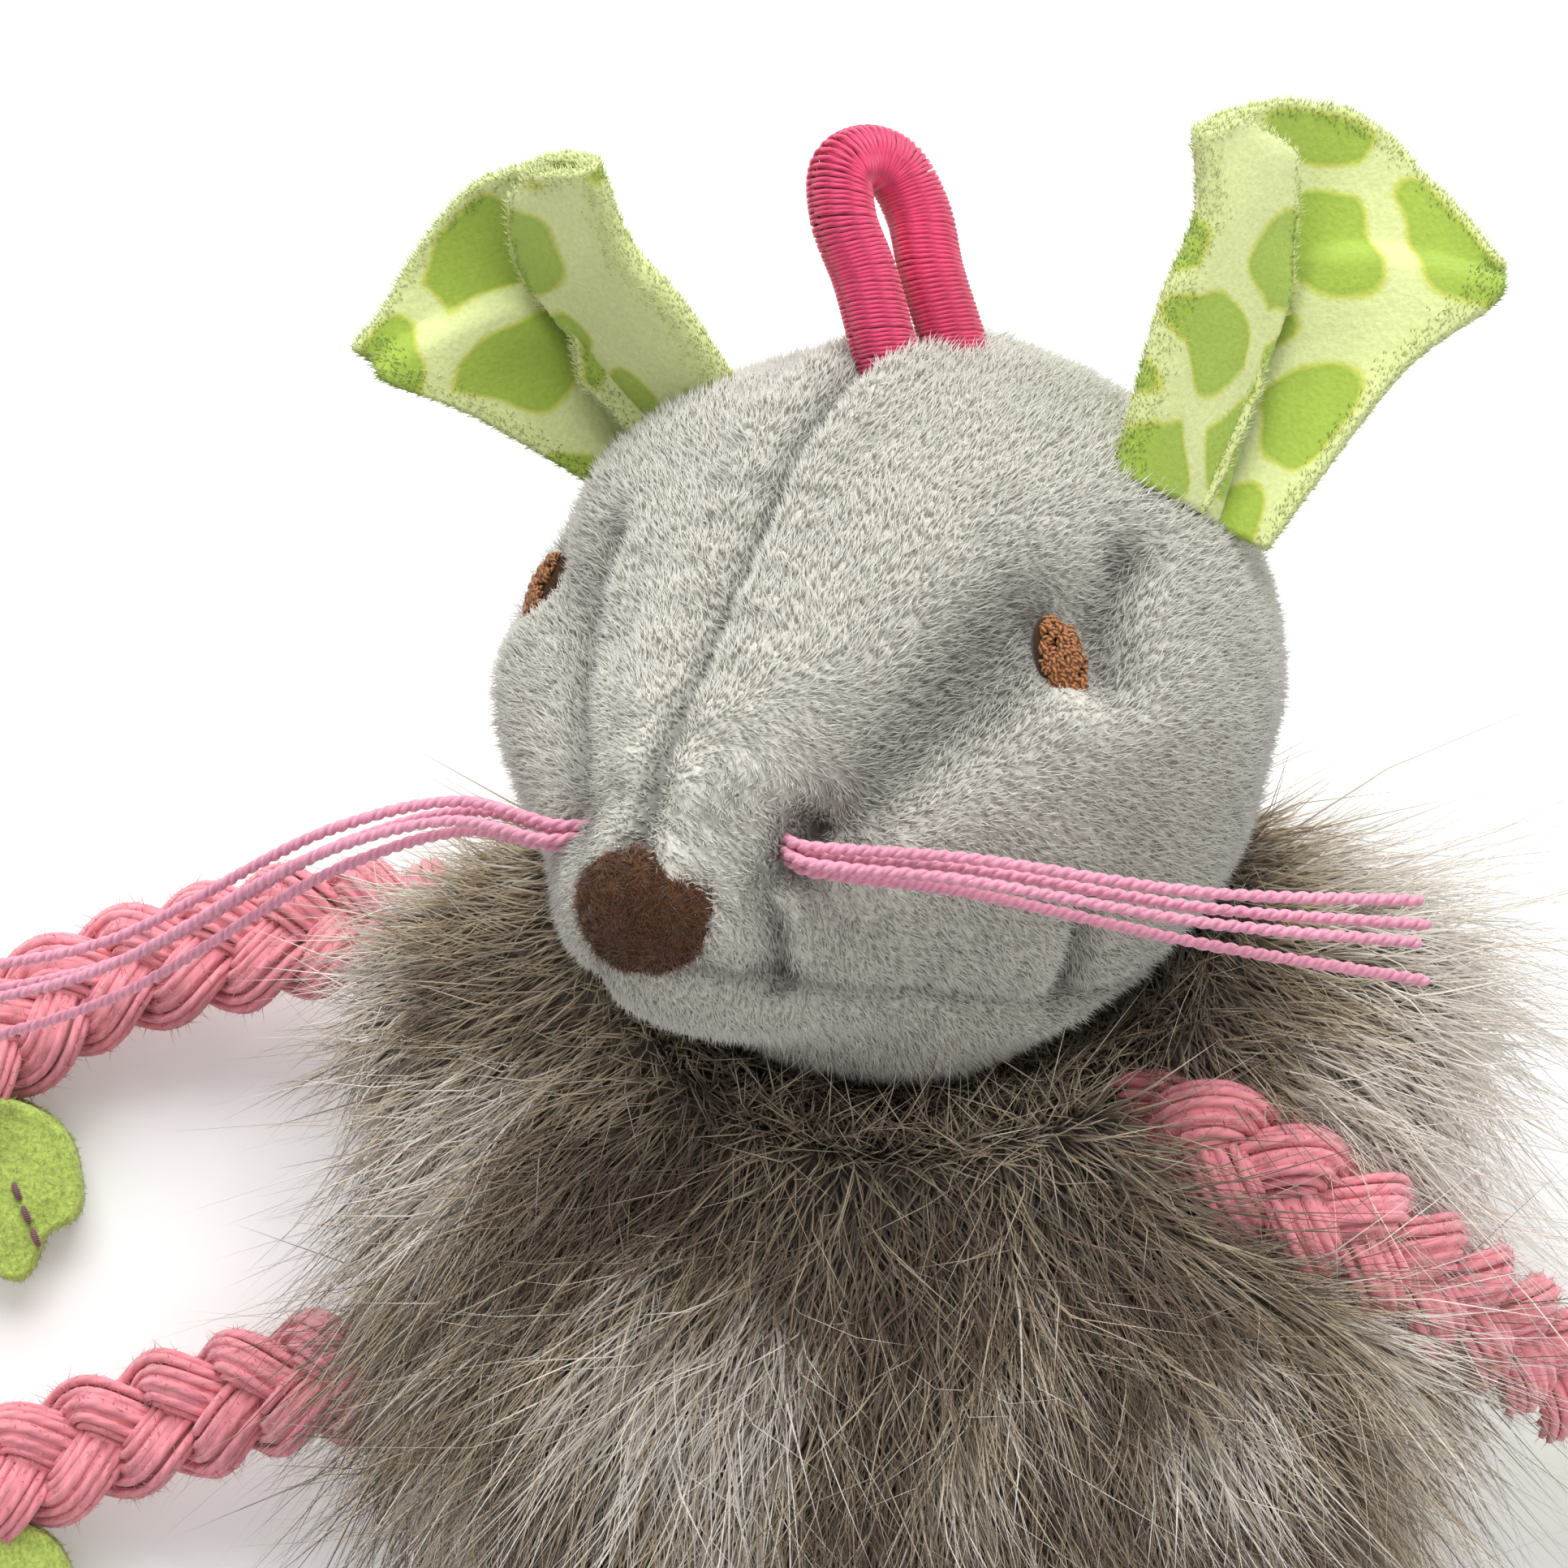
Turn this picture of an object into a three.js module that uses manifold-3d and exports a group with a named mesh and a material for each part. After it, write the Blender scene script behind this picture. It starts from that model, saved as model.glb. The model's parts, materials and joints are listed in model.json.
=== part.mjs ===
import * as THREE from "three";
import { mergeVertices } from "three/addons/utils/BufferGeometryUtils.js";
import Module from "manifold-3d";

// A plush mouse that cats bat and carry, with plaited cotton limbs and an elastic loop to hang it by.
// It lies on its back with its face up. Millimetres: X to the viewer's right, Y from feet to head, Z up.
// Left and right are the viewer's.

const wasm = await Module();
wasm.setup();

// Clearances
const seamGap = 0.3;
const facetAllowance = 0.35;
const headAllowance = 1;
const fillingAllowance = 2.2;
const cutOverrun = 60;

// Body
const bodyHalfLength = 35;
const bodyHalfWidth = 35;
const bodyFrontDepth = 24;
const bodyBackDepth = 21.5;
const bodyCoverThickness = 3;
const floorFlatDepth = 0.5;
const bodyPlanPower = 2.6;
const shoulderSwellShare = 0.24;
const shoulderPlaceShare = 0.66;
const shoulderRunShare = 0.3;
const chestDipShare = 0.34;
const chestPlaceShare = 0.55;
const chestRunShare = 0.42;

// Head
const headHalfWidth = 25.8;
const headHalfHeight = 24.6;
const headHalfDepth = 24.4;
const headPanelThickness = 3;
const snoutLength = 13.5;
const snoutSpreadAngle = 24;
const headShift = -0.4;
const headAboveBodyCentre = 35.8;
const headAboveFloor = 39;
const headNodAngle = 30;
const headTurnAngle = -32;
const headRollAngle = -10;
const chinHalfAngle = 46;
const snoutTipHoleRadius = 1.6;

// Neck
const neckLeanAngle = 38;
const neckReach = 24.6;
const neckOpeningRadius = 9;
const neckThreadRadius = 7.4;
const neckThreadThickness = 1.2;
const neckNodAngles = [-12, 12];
const neckTurnAngles = [-25, 25];

// Nose and eyes
const noseDiameter = 8.8;
const noseThickness = 1;
const eyeWidth = 3.6;
const eyeHeight = 5.8;
const eyeThickness = 0.8;
const eyeRiseAngle = 26.5;
const eyeTiltAngles = { left: 66, right: 58.5 };

// Ears: two layers of printed velour, pinched at the root and open at the top
const earRootWidth = 12;
const earTopWidth = 21.5;
const earLayerThickness = 0.8;
const earRootFold = 4.2;
const earTopFold = 5.5;
const earFoldAngles = [-25, 25];
const ears = [
  {
    name: "ear_left",
    side: -1,
    height: 20,
    cornerDropShare: 0.1,
    tiltAngle: 96,
    riseAngle: 49,
    leanShares: [0.23, -0.04, 0.39],
    twistAngle: 11,
  },
  {
    name: "ear_right",
    side: 1,
    height: 24.5,
    cornerDropShare: 0.24,
    tiltAngle: 105,
    riseAngle: 38.5,
    leanShares: [-0.53, 0, -0.15],
    twistAngle: -33,
  },
];

// Elastic loop
const elasticDiameter = 4.2;
const loopHeight = 11.6;
const loopHalfSpacing = 2.7;
const loopHalfShares = [[1, 0], [0.96, 0.33], [1.08, 0.68], [0.74, 0.93]];
const loopLeanShare = -0.35;
const loopTwistAngle = 62;
const loopTiltAngle = 100;
const loopRiseAngle = 87;
const loopSwingAngles = [-20, 20];

// Whisker threads: each side's route starts in the snout, and its threads fan out from it
const whiskerDiameter = 0.85;
const whiskerRootCircle = 0.9;
const whiskerTiltAngle = 15.7;
const whiskerRiseAngle = 17;
const whiskerRootDepth = 2;
const whiskerRouteRight = [[17.4, 0.6, 27.3], [29.8, -3.6, 21.1], [40.6, -7.6, 12.5]];
const whiskerRouteLeft = [[-16.1, 2.7, 29.7], [-25.8, -0.1, 30.1], [-43.4, -9.2, 31.5], [-57.1, -13.3, 31.8]];
const whiskerFan = [[1.7, 0.5], [0.4, 1], [-2.2, -0.4], [0, -1]];

// Plaited limbs and felt paws
const limbLength = 41;
const limbRootRadius = 5.2;
const limbTipRadius = 4.6;
const limbSwellShare = 0.06;
const limbRootInset = 3;
const pawLength = 14.5;
const pawWidth = 13;
const pawFeltThickness = 1.5;
const pawStartShare = 0.12;
const pawFlapAngles = [-25, 25];
const toeCount = 3;
const toeDepthShare = 0.08;
const wristNarrowShare = 0.22;
const limbs = [
  {
    name: "arm_left",
    paw: "hand_left",
    alongShare: 0.74,
    aroundAngle: 193,
    reachShares: [[-0.173, 0.045, 0.5], [-0.441, 0.02, 0.82], [-0.68, -0.045, 0.96], [-0.9, -0.19, 1]],
    liftShares: [0, -0.8, 1],
    headingShares: [0.3, -0.95, -0.19],
    swingAngles: [-10, 45],
  },
  {
    name: "arm_right",
    paw: "hand_right",
    alongShare: 0.229,
    aroundAngle: 57,
    reachShares: [[0.205, -0.105, 0.03], [0.412, -0.212, 0.25], [0.583, -0.285, 0.53], [0.693, -0.341, 0.75]],
    liftShares: [0, -0.5, 1],
    headingShares: [0.75, -0.35, -0.56],
    swingAngles: [0, 40],
  },
  {
    name: "leg_left",
    paw: "foot_left",
    alongShare: -0.17,
    aroundAngle: 196,
    reachShares: [[-0.33, -0.035, 0.55], [-0.534, -0.09, 0.85], [-0.734, -0.15, 0.97], [-0.91, -0.21, 1]],
    liftShares: [0, -0.8, 1],
    headingShares: [0.45, -0.88, -0.19],
    swingAngles: [-10, 45],
  },
  {
    name: "leg_right",
    paw: "foot_right",
    alongShare: -0.714,
    aroundAngle: -23,
    reachShares: [[0.16, -0.19, 0.5], [0.33, -0.38, 0.83], [0.5, -0.56, 0.97], [0.65, -0.72, 1]],
    liftShares: [0, 0, 1],
    headingShares: [0.9, -0.35, -0.19],
    swingAngles: [-10, 45],
  },
];

// Facets
const headColumns = 24;
const headRows = 18;
const bodyColumns = 24;
const bodyRows = 18;
const innerColumns = 16;
const innerRows = 10;
const limbColumns = 8;
const limbRows = 12;
const hollowRows = 6;
const capRows = 3;
const loopRows = 22;
const earColumns = 8;
const earRows = 5;
const whiskerRows = 10;
const whiskerSides = 6;
const pawPoints = 20;
const roundSides = 18;
const smallRoundSides = 12;
const cordSides = 8;
const snoutCrowding = 1.25;
const headSteps = 2;
const limbSteps = 3;
const earSteps = 4;
const pawSteps = 2;

// Materials
const material = (colour, roughness) => new THREE.MeshStandardMaterial({ color: colour, roughness, metalness: 0 });
const greyPlush = material(0xb5b7b3, 0.95);
const longPile = material(0x8c8478, 1);
const stuffing = material(0xf2f0ea, 1);
const brownFelt = material(0x55341f, 0.95);
const copperThread = material(0x9a6234, 0.6);
const printedVelour = material(0xb9d169, 0.95);
const greenFelt = material(0x9dbb4a, 0.95);
const crimsonElastic = material(0xd93a66, 0.8);
const pinkThread = material(0xe9a0b0, 0.85);
const pinkCotton = material(0xe88a98, 0.95);
const greyThread = material(0x8a8680, 0.8);

const halfTurn = 180;
const radians = THREE.MathUtils.degToRad;
const degrees = THREE.MathUtils.radToDeg;
const xAxis = new THREE.Vector3(1, 0, 0);
const yAxis = new THREE.Vector3(0, 1, 0);
const zAxis = new THREE.Vector3(0, 0, 1);

// Solids

function solidOf(geometry) {
  const bare = geometry.clone();
  bare.deleteAttribute("normal");
  bare.deleteAttribute("uv");
  const welded = mergeVertices(bare);
  return new wasm.Manifold(
    new wasm.Mesh({
      numProp: 3,
      vertProperties: new Float32Array(welded.attributes.position.array),
      triVerts: new Uint32Array(welded.index.array),
    }),
  );
}

function geometryOf(solid) {
  const { vertProperties, triVerts } = solid.getMesh();
  const geometry = new THREE.BufferGeometry();
  geometry.setAttribute("position", new THREE.BufferAttribute(vertProperties, 3));
  geometry.setIndex(new THREE.BufferAttribute(triVerts, 1));
  return geometry;
}

function piece(name, shape, itsMaterial) {
  const geometry = shape.isBufferGeometry ? shape : geometryOf(shape);
  const mesh = new THREE.Mesh(geometry, itsMaterial);
  mesh.name = name;
  return mesh;
}

// Moves every vertex of a geometry to the place that a function gives for it
function reshape(geometry, placeOf) {
  const position = geometry.getAttribute("position");
  const vertex = new THREE.Vector3();
  for (let i = 0; i < position.count; i += 1) {
    const place = placeOf(vertex.fromBufferAttribute(position, i), i);
    position.setXYZ(i, place.x, place.y, place.z);
  }
  return geometry;
}

function turnAbout(pivot, axis, angle) {
  const there = new THREE.Matrix4().makeTranslation(pivot);
  const turn = new THREE.Matrix4().makeRotationAxis(axis, radians(angle));
  const back = new THREE.Matrix4().makeTranslation(pivot.clone().negate());
  return there.multiply(turn).multiply(back);
}

// The space that a geometry passes through in the given moves
function sweptSolid(geometry, moves) {
  return moves
    .map((move) => solidOf(geometry.clone().applyMatrix4(move)))
    .reduce((joined, solid) => joined.add(solid));
}

function anglesAcross([low, high], steps) {
  return Array.from({ length: steps + 1 }, (unused, i) => low + ((high - low) * i) / steps);
}

// A closed round solid along a curve, with a hemisphere at each end
function roundedAlong(curve, radiusAt, columns, rows) {
  const lastRow = rows + 2 * capRows;
  const along = (row) => THREE.MathUtils.clamp((row - capRows) / rows, 0, 1);
  const frames = curve.computeFrenetFrames(rows, false);
  return reshape(new THREE.SphereGeometry(1, columns, lastRow), (unused, i) => {
    const row = Math.floor(i / (columns + 1));
    const around = ((i % (columns + 1)) / columns) * 2 * Math.PI;
    const share = along(row);
    const frame = Math.round(share * rows);
    const capTurn = (Math.min(row, lastRow - row, capRows) / capRows) * (Math.PI / 2);
    const radius = radiusAt(share);
    const overhang = (row < capRows ? -1 : 1) * Math.cos(capTurn) * radius;
    const side = frames.normals[frame].clone().multiplyScalar(-Math.cos(around));
    side.addScaledVector(frames.binormals[frame], Math.sin(around));
    return curve
      .getPointAt(share)
      .addScaledVector(frames.tangents[frame], overhang)
      .addScaledVector(side, Math.sin(capTurn) * radius);
  });
}

// A sheet of even thickness over a surface given at across = -1 to 1 and up = 0 to 1
function sheetOver(surfaceAt, nearFace, farFace, columns, rows) {
  const box = new THREE.BoxGeometry(1, 1, 1, columns, rows, 1);
  const stepShare = 0.01;
  return reshape(box, (vertex) => {
    const across = 2 * vertex.x;
    const up = vertex.y + 1 / 2;
    const here = surfaceAt(across, up);
    const acrossward = surfaceAt(across + stepShare, up).sub(surfaceAt(across - stepShare, up));
    const upward = surfaceAt(across, up + stepShare).sub(surfaceAt(across, up - stepShare));
    const normal = acrossward.cross(upward).normalize();
    return here.addScaledVector(normal, vertex.z > 0 ? farFace : nearFace);
  });
}

function cylinderAlong(start, direction, radius, length, sides) {
  const geometry = new THREE.CylinderGeometry(radius, radius, length, sides);
  geometry.applyQuaternion(new THREE.Quaternion().setFromUnitVectors(yAxis, direction));
  const middle = start.clone().addScaledVector(direction, length / 2);
  return geometry.translate(middle.x, middle.y, middle.z);
}

function slab(lowHeight, highHeight) {
  const block = new THREE.BoxGeometry(2 * cutOverrun, 2 * cutOverrun, highHeight - lowHeight);
  return solidOf(block.translate(0, 0, (lowHeight + highHeight) / 2));
}

// Body shape. A place on it is a share of its length and an angle round it from the right, towards the front.

const seamHeight = bodyBackDepth - floorFlatDepth;

const bump = (share, place, run) => Math.exp(-(((share - place) / run) ** 2));

function bodyPoint(alongShare, angle, inset) {
  const plan = (1 - Math.abs(alongShare) ** bodyPlanPower) ** (1 / bodyPlanPower);
  const swell = 1 + shoulderSwellShare * bump(alongShare, shoulderPlaceShare, shoulderRunShare);
  const dip = 1 - chestDipShare * bump(alongShare, chestPlaceShare, chestRunShare);
  const isFront = Math.sin(angle) > 0;
  const depth = isFront ? (bodyFrontDepth - inset) * dip : bodyBackDepth - inset;
  return new THREE.Vector3(
    Math.cos(angle) * (bodyHalfWidth - inset) * plan * swell,
    alongShare * (bodyHalfLength - inset),
    seamHeight + Math.sin(angle) * depth * plan,
  );
}

function bodyShape(inset, columns, rows) {
  return reshape(new THREE.SphereGeometry(1, columns, rows), (vertex) =>
    bodyPoint(THREE.MathUtils.clamp(vertex.y, -1, 1), Math.atan2(vertex.z, vertex.x), inset),
  );
}

// Head shape, about the middle of the skull: X to its right, Y to the crown, Z to the nose

function headDirection(tiltAngle, riseAngle) {
  const tilt = radians(tiltAngle);
  const turn = radians(riseAngle);
  return new THREE.Vector3(Math.sin(tilt) * Math.cos(turn), Math.sin(tilt) * Math.sin(turn), Math.cos(tilt));
}

// The rise of a place on the right, or of its mirror image on the left
const riseOn = (side, riseAngle) => (side > 0 ? riseAngle : halfTurn - riseAngle);

function headPoint(direction, outset) {
  const skull = new THREE.Vector3(
    direction.x / headHalfWidth,
    direction.y / headHalfHeight,
    direction.z / headHalfDepth,
  );
  const fromSnout = direction.angleTo(zAxis) / radians(snoutSpreadAngle);
  const reach = 1 / skull.length() + snoutLength * Math.exp(-(fromSnout ** 2));
  return direction.clone().multiplyScalar(reach + outset);
}

function headShape(outset, columns, rows) {
  const ball = new THREE.SphereGeometry(1, columns, rows).rotateX(Math.PI / 2);
  return reshape(ball, (vertex) => {
    const tilt = Math.PI * (vertex.angleTo(zAxis) / Math.PI) ** snoutCrowding;
    const turn = Math.atan2(vertex.y, vertex.x);
    return headPoint(headDirection(degrees(tilt), degrees(turn)), outset);
  });
}

const head = new THREE.Group();
head.position.set(headShift, headAboveBodyCentre, headAboveFloor);
head.rotation.set(radians(headNodAngle), radians(headTurnAngle), radians(headRollAngle), "YXZ");
head.updateMatrix();
const intoHead = head.matrix.clone().invert();

const neckAxis = yAxis.clone().applyAxisAngle(xAxis, radians(90 - neckLeanAngle));
const neckCentre = head.position.clone().addScaledVector(neckAxis, -neckReach);
const neckAxisInHead = neckAxis.clone().transformDirection(intoHead);
const neckCentreInHead = neckCentre.clone().applyMatrix4(intoHead);

// The hollow that the head needs in the collar: round about the neck axis for its turn, repeated for its nod
function headClearance() {
  const around = headHalfWidth + seamGap + headAllowance;
  const along = neckReach + seamGap + facetAllowance;
  const hollow = new THREE.SphereGeometry(1, roundSides, innerRows).scale(around, along, around);
  hollow.applyQuaternion(new THREE.Quaternion().setFromUnitVectors(yAxis, neckAxis));
  hollow.translate(head.position.x, head.position.y, head.position.z);
  const moves = anglesAcross(neckNodAngles, headSteps).map((nod) => turnAbout(neckCentre, xAxis, nod));
  return sweptSolid(hollow, moves);
}

// Ears

const earSurface = (ear) => (across, up) => {
  const halfWidth = THREE.MathUtils.lerp(earRootWidth, earTopWidth, up) / 2;
  const fold = THREE.MathUtils.lerp(earRootFold, earTopFold, up);
  const corner = across ** 2;
  return new THREE.Vector3(
    across * halfWidth,
    ear.height * up * (1 - ear.cornerDropShare * corner * up),
    fold * Math.abs(across) ** (1 + up),
  );
};

function earFrame({ side, tiltAngle, riseAngle, leanShares, twistAngle }) {
  const outward = headDirection(tiltAngle, riseOn(side, riseAngle));
  const root = headPoint(outward, 0);
  const up = outward.clone().add(new THREE.Vector3(...leanShares)).normalize();
  const front = zAxis.clone().addScaledVector(up, -zAxis.dot(up)).normalize();
  front.applyAxisAngle(up, radians(-side * twistAngle));
  const across = up.clone().cross(front);
  return { root, across, matrix: new THREE.Matrix4().makeBasis(across, up, front).setPosition(root) };
}

function earLayers(ear) {
  const { root, across, matrix } = earFrame(ear);
  const headCut = headShape(seamGap, headColumns, headRows);
  const moves = anglesAcross(earFoldAngles, earSteps).map((angle) => turnAbout(root, across, angle));
  const headSwept = sweptSolid(headCut, moves);
  const halfGap = seamGap / 2;
  const sheet = (near, far) => sheetOver(earSurface(ear), near, far, earColumns, earRows);
  const layer = (near, far) => solidOf(sheet(near, far).applyMatrix4(matrix));
  return [
    piece(`${ear.name}_front`, layer(halfGap, halfGap + earLayerThickness).subtract(headSwept), printedVelour),
    piece(`${ear.name}_back`, layer(-halfGap - earLayerThickness, -halfGap).subtract(headSwept), printedVelour),
  ];
}

// Elastic loop

const elasticRadius = elasticDiameter / 2;
const loopOutward = headDirection(loopTiltAngle, loopRiseAngle);
const loopRoot = headPoint(loopOutward, 0);
const loopAcross = xAxis.clone().addScaledVector(loopOutward, -loopOutward.x).normalize();
loopAcross.applyAxisAngle(loopOutward, radians(loopTwistAngle));
const loopUp = loopOutward.clone().addScaledVector(xAxis, loopLeanShare).normalize();
const loopEnds = [-1, 1].map((side) => loopRoot.clone().addScaledVector(loopAcross, side * loopHalfSpacing));

function loopCurve() {
  const place = ([spacing, height], side) =>
    loopRoot
      .clone()
      .addScaledVector(loopAcross, side * spacing * loopHalfSpacing)
      .addScaledVector(loopUp, height * loopHeight);
  return new THREE.CatmullRomCurve3([
    ...loopHalfShares.map((share) => place(share, -1)),
    loopRoot.clone().addScaledVector(loopUp, loopHeight),
    ...loopHalfShares.map((share) => place(share, 1)).reverse(),
  ]);
}

function loopSockets() {
  const socketRadius = elasticRadius + seamGap + facetAllowance;
  const ball = new THREE.SphereGeometry(socketRadius, smallRoundSides, cordSides);
  return loopEnds
    .map((end) => solidOf(ball.clone().translate(end.x, end.y, end.z)))
    .reduce((joined, socket) => joined.add(socket));
}

// Whiskers

function whiskerRoot(side) {
  return headPoint(headDirection(whiskerTiltAngle, riseOn(side, whiskerRiseAngle)), 0);
}

const whiskerRoutes = { left: whiskerRouteLeft, right: whiskerRouteRight };

function whiskerHeading(side, route) {
  return new THREE.Vector3(...route[0]).sub(whiskerRoot(side)).normalize();
}

function whiskerCurve(side, route, thread) {
  const heading = whiskerHeading(side, route);
  const upward = yAxis.clone().addScaledVector(heading, -heading.y).normalize();
  const outward = heading.clone().cross(upward).multiplyScalar(side);
  const turn = (thread / whiskerFan.length) * 2 * Math.PI;
  const onCircle = (centre) =>
    centre
      .addScaledVector(upward, Math.cos(turn) * whiskerRootCircle)
      .addScaledVector(outward, Math.sin(turn) * whiskerRootCircle);
  const root = onCircle(whiskerRoot(side));
  const [fanUp, fanOut] = whiskerFan[thread];
  const points = route.map((point, i) => {
    const share = ((i + 1) / route.length) ** 2;
    return onCircle(new THREE.Vector3(...point))
      .addScaledVector(yAxis, fanUp * share)
      .addScaledVector(zAxis, fanOut * share);
  });
  return new THREE.CatmullRomCurve3([root.clone().addScaledVector(heading, -whiskerRootDepth), root, ...points]);
}

function whiskers(sideName, side) {
  const section = new THREE.Shape().absarc(0, 0, whiskerDiameter / 2, 0, 2 * Math.PI);
  return whiskerFan.map((unused, thread) => {
    const curve = whiskerCurve(side, whiskerRoutes[sideName], thread);
    const settings = { steps: whiskerRows, curveSegments: whiskerSides / 2, extrudePath: curve };
    return piece(`whisker_${sideName}_${thread + 1}`, new THREE.ExtrudeGeometry(section, settings), pinkThread);
  });
}

function whiskerHole(sideName, side) {
  const heading = whiskerHeading(side, whiskerRoutes[sideName]);
  const start = whiskerRoot(side).addScaledVector(heading, -whiskerRootDepth - seamGap);
  const radius = whiskerRootCircle + whiskerDiameter / 2 + seamGap;
  return solidOf(cylinderAlong(start, heading, radius, 3 * whiskerRootDepth, smallRoundSides));
}

// Head cover: two side panels that meet over the face and crown, and a chin panel between them below

function chinWedge(angle, clearance) {
  const reach = cutOverrun;
  const half = radians(angle);
  const outline = new THREE.Shape([
    new THREE.Vector2(0, clearance),
    new THREE.Vector2(-reach * Math.sin(half), clearance - reach * Math.cos(half)),
    new THREE.Vector2(reach * Math.sin(half), clearance - reach * Math.cos(half)),
  ]);
  const wedge = new THREE.ExtrudeGeometry(outline, { depth: 2 * reach, bevelEnabled: false });
  return solidOf(wedge.translate(0, 0, -reach));
}

function headPieces() {
  const outer = solidOf(headShape(0, headColumns, headRows));
  const inner = solidOf(headShape(-headPanelThickness, innerColumns, innerRows));
  const filling = headShape(-headPanelThickness - seamGap - facetAllowance, innerColumns, innerRows);
  const neckStart = neckCentreInHead.clone().addScaledVector(neckAxisInHead, -headHalfHeight / 2);
  const neckHole = solidOf(
    cylinderAlong(neckStart, neckAxisInHead, neckOpeningRadius, headHalfHeight, roundSides),
  );
  const tipHole = solidOf(
    cylinderAlong(new THREE.Vector3(), zAxis, snoutTipHoleRadius, 2 * headHalfDepth, cordSides),
  );
  const cover = outer
    .subtract(inner)
    .subtract(neckHole)
    .subtract(tipHole)
    .subtract(loopSockets())
    .subtract(whiskerHole("left", -1))
    .subtract(whiskerHole("right", 1));
  const wedgeRise = seamGap / 2 / Math.sin(radians(chinHalfAngle));
  const sides = cover.subtract(chinWedge(chinHalfAngle, wedgeRise));
  const block = new THREE.BoxGeometry(cutOverrun, 2 * cutOverrun, 2 * cutOverrun);
  const rightHalf = solidOf(block.clone().translate((cutOverrun + seamGap) / 2, 0, 0));
  const leftHalf = solidOf(block.clone().translate(-(cutOverrun + seamGap) / 2, 0, 0));
  return [
    piece("head_panel_right", sides.intersect(rightHalf), greyPlush),
    piece("head_panel_left", sides.intersect(leftHalf), greyPlush),
    piece("head_panel_chin", cover.intersect(chinWedge(chinHalfAngle, -wedgeRise)), greyPlush),
    piece("head_filling", filling, stuffing),
  ];
}

// A patch that lies on the head at a fixed height, inside the outline of a cylinder
function patchOn(direction, width, height, thickness, columns, rows) {
  const above = solidOf(headShape(seamGap + thickness, columns, rows));
  const below = solidOf(headShape(seamGap, columns, rows));
  const outline = new THREE.CylinderGeometry(1, 1, headHalfWidth + snoutLength, roundSides);
  outline.scale(width / 2, 1, height / 2);
  const up = yAxis.clone().addScaledVector(direction, -direction.y).normalize();
  const across = direction.clone().cross(up);
  outline.applyMatrix4(new THREE.Matrix4().makeBasis(across, direction, up));
  const middle = direction.clone().multiplyScalar(headHalfWidth);
  return above.subtract(below).intersect(solidOf(outline.translate(middle.x, middle.y, middle.z)));
}

function facePieces() {
  const eye = (side, tiltAngle) => {
    const place = headDirection(tiltAngle, riseOn(side, eyeRiseAngle));
    return patchOn(place, eyeWidth, eyeHeight, eyeThickness, headColumns, headRows);
  };
  return [
    piece("nose", patchOn(zAxis, noseDiameter, noseDiameter, noseThickness, headColumns, headRows), brownFelt),
    piece("eye_right", eye(1, eyeTiltAngles.right), copperThread),
    piece("eye_left", eye(-1, eyeTiltAngles.left), copperThread),
  ];
}

// Limbs

function limbRoot(limb) {
  return bodyPoint(limb.alongShare, radians(limb.aroundAngle), limbRootInset);
}

function limbCurve(limb) {
  const root = limbRoot(limb);
  const restHeight = limbTipRadius + seamGap;
  const points = limb.reachShares.map(
    ([xShare, yShare, dropShare]) =>
      new THREE.Vector3(
        root.x + xShare * limbLength,
        root.y + yShare * limbLength,
        THREE.MathUtils.lerp(root.z, restHeight, dropShare),
      ),
  );
  return new THREE.CatmullRomCurve3([root, ...points]);
}

function limbShape(limb, outset, columns, rows) {
  const radiusAt = (share) => {
    const taper = THREE.MathUtils.lerp(limbRootRadius, limbTipRadius, share);
    return taper * (1 + limbSwellShare * Math.sin(Math.PI * share) ** 2) + outset;
  };
  return roundedAlong(limbCurve(limb), radiusAt, columns, rows);
}

function limbHinge(limb) {
  const curve = limbCurve(limb);
  const lift = new THREE.Vector3(...limb.liftShares).normalize();
  const along = curve.getPointAt(1 / 2).sub(limbRoot(limb)).normalize();
  return { pivot: limbRoot(limb), axis: along.cross(lift).normalize() };
}

// The hollow that a limb needs in the body's side as it moves
function limbClearance(limb) {
  const { pivot, axis } = limbHinge(limb);
  const shape = limbShape(limb, seamGap + facetAllowance, limbColumns, hollowRows);
  const moves = anglesAcross(limb.swingAngles, limbSteps).map((angle) => turnAbout(pivot, axis, angle));
  return sweptSolid(shape, moves);
}

function pawFrame(limb) {
  const wrist = limbCurve(limb).getPointAt(1);
  const heading = new THREE.Vector3(...limb.headingShares).normalize();
  const across = heading.clone().cross(zAxis).normalize();
  const matrix = new THREE.Matrix4().makeBasis(across, heading, across.clone().cross(heading));
  return { wrist, across, matrix: matrix.setPosition(wrist) };
}

// The paw's outline: a narrow wrist, a round palm and three shallow toes
function pawOutline() {
  const point = (share) => {
    const turn = 2 * Math.PI * share;
    const forward = (1 - Math.cos(turn)) / 2;
    const toes = 1 + toeDepthShare * Math.cos(2 * toeCount * turn) * forward ** toeCount;
    const narrowing = 1 - wristNarrowShare * Math.cos(turn) ** 2 * (1 - forward);
    const halfWidth = (pawWidth / 2) * Math.sin(turn) * narrowing;
    const start = pawStartShare * pawLength;
    return new THREE.Vector2(halfWidth * toes, start + (pawLength - start) * forward * toes);
  };
  return new THREE.Shape(Array.from({ length: pawPoints }, (unused, i) => point(-i / pawPoints)));
}

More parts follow.
